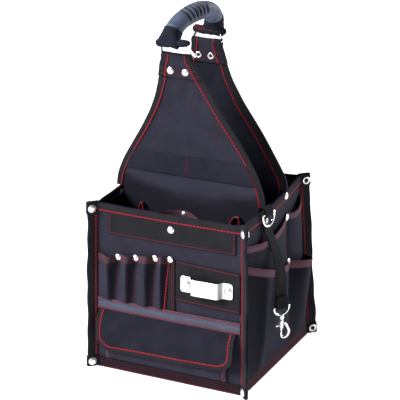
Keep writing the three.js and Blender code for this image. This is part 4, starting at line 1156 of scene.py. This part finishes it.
def build_sleeve(end, start, away):
    """Cloth from the grip's end, spreading to a roll round the ring; gives the roll's stitch rows."""
    roll = np.array(end.roll)
    lip = roll + unit(roll - start) * 5.5 + (end.lip, 0, 0)
    share = column(60)
    path = start * (1 - share) ** 2 + 2 * (start + away * 12) * share * (1 - share) + lip * share ** 2
    wide = np.interp(share, SLEEVE_T, SLEEVE_WIDE) + 0.35 * np.sin(share * 31)
    deep = np.interp(share, SLEEVE_T, SLEEVE_DEEP) + 0.25 * np.sin(share * 23 + 1)
    tangent = tangents(path)
    flat = unit(np.array(RIGHT) - tangent[:, :1] * tangent)
    angle = around(40)
    square = np.interp(share, (0, 0.5, 1), (1.0, 0.7, 0.55))
    pleat = 1 + 0.02 * np.sin(7 * angle) * share
    c, s = (np.sign(v) * np.abs(v) ** square * pleat for v in (np.cos(angle), np.sin(angle)))
    sections = (path[:, None] + flat[:, None] * (wide * c)[..., None]
                + np.cross(tangent, flat)[:, None] * (deep * s)[..., None])
    name = f"handle_sleeve_{end.name}"
    loft(name, sections, "sleeve", turn=True, replaces=f"handle_end_{end.name}")

    def axis_at(x):
        return roll + xyz(x * ROLL_HALF, 0.0, 1.2 * x ** 2 + end.tilt * x)

    x = np.linspace(-1, 1, 40)
    radius = ROLL_RADIUS - end.thin * clip01(x)
    radius = radius * np.sqrt(np.clip(1 - np.abs(x) ** 8, 0.03, 1)) + 0.25 * np.sin(14 * x)
    loft(f"{name}_roll", rings(axis_at(x), UP, radius, sides=20), "sleeve")
    centre = axis_at(np.linspace(-0.85, 0.3, 40))
    normals = [np.array([0.0, -cos(a), sin(a)]) for a in np.radians(ROLL_ROWS)]
    return [(centre + n * (ROLL_RADIUS + 0.2), centre + n * (ROLL_RADIUS + 1.2)) for n in normals]


def build_handle():
    path, tangent = build_grip()
    for end in ENDS:
        build_fold(end)
        bar, roll, shift = np.array(end.bar), np.array(end.roll), np.array(RIGHT)
        corners = [
            bar - shift * end.bar_half, bar + shift * end.bar_half,
            roll + shift * RING_TOP_HALF, roll - shift * RING_TOP_HALF]
        loop = rounded_loop(corners, RING_CORNER)
        sections = rings(loop, np.cross(shift, roll - bar), WIRE, sides=14, closed=True)
        loft(f"ring_wire_{end.name}", sections, "chrome", closed=True, replaces=f"handle_ring_{end.name}")
        k = int(GRIP_STEPS * end.start)
        rows = build_sleeve(end, path[k], end.away * tangent[k])
        if end.name == SEWN_SLEEVE:
            stitches("handle_sleeve_stitching", rows, 3.4, 0.6, 0.62, 0.3, "fine_thread")


# Camera, floor and soft light: each light's direction, strength and width in degrees
FLOOR_GLOW, FLOOR_REACH, WORLD_LIGHT = 0.86, 6.0, 0.07
LIGHTS = (("key", (-0.62, -0.55, 0.56), 6.8, 30), ("back", (0.45, 0.83, 0.33), 2.8, 30))


def build_stage():
    scene = bpy.context.scene
    floor = bpy.data.meshes.new("floor")
    corners = [(x * FLOOR_REACH, y * FLOOR_REACH, 0) for x, y in ((-1, -1), (1, -1), (1, 1), (-1, 1))]
    floor.from_pydata(corners, [], [(0, 1, 2, 3)])
    paper, tree, shader = new_material(
        "pale_paper", Roughness=0.9, Specular_IOR_Level=0.1, Emission_Color=(1.0, 1.0, 1.0, 1.0),
        Emission_Strength=FLOOR_GLOW)
    grain = node(tree, "ShaderNodeTexNoise", {"Scale": 400.0}).outputs["Fac"]
    colour(tree, shader, grain, (0.55, 0.55, 0.55), (0.60, 0.60, 0.60))
    floor.materials.append(paper)
    ground = bpy.data.objects.new("floor", floor)
    scene.collection.objects.link(ground)

    scene.view_settings.view_transform = "Standard"
    world = bpy.data.worlds.new("studio")
    world.use_nodes = True
    world.node_tree.nodes["Background"].inputs["Color"].default_value = (1.0, 1.0, 1.0, 1.0)
    world.node_tree.nodes["Background"].inputs["Strength"].default_value = WORLD_LIGHT
    scene.world = world
    for name, towards, strength, width in LIGHTS:
        light = bpy.data.lights.new(name, "SUN")
        light.energy = strength
        light.angle = radians(width)
        lamp = bpy.data.objects.new(name, light)
        lamp.location = Vector(towards) * 3
        lamp.rotation_euler = Vector(towards).to_track_quat("Z", "Y").to_euler()
        scene.collection.objects.link(lamp)

    lens = bpy.data.cameras.new("camera")
    lens.lens = CAMERA_LENS
    lens.sensor_width = SENSOR
    eye = bpy.data.objects.new("camera", lens)
    right = Vector((cos(CAMERA_AZIMUTH), sin(CAMERA_AZIMUTH), 0.0))
    level = Vector((sin(CAMERA_AZIMUTH), -cos(CAMERA_AZIMUTH), 0.0))
    back = level * cos(CAMERA_ELEVATION) + Vector(UP) * sin(CAMERA_ELEVATION)
    place = (Vector((0, 0, CAMERA_TARGET_Z)) + right * CAMERA_SIDE + back * CAMERA_DISTANCE) * MM
    turn = Matrix((right, back.cross(right), back)).transposed().to_4x4()
    eye.matrix_world = Matrix.Translation(place) @ turn
    scene.collection.objects.link(eye)
    scene.camera = eye


build_stage()
build_box()
build_corners()
build_panels()
build_front()
build_band()
cover, *trim = build_flap()
build_side()
build_strap()
build_handle()
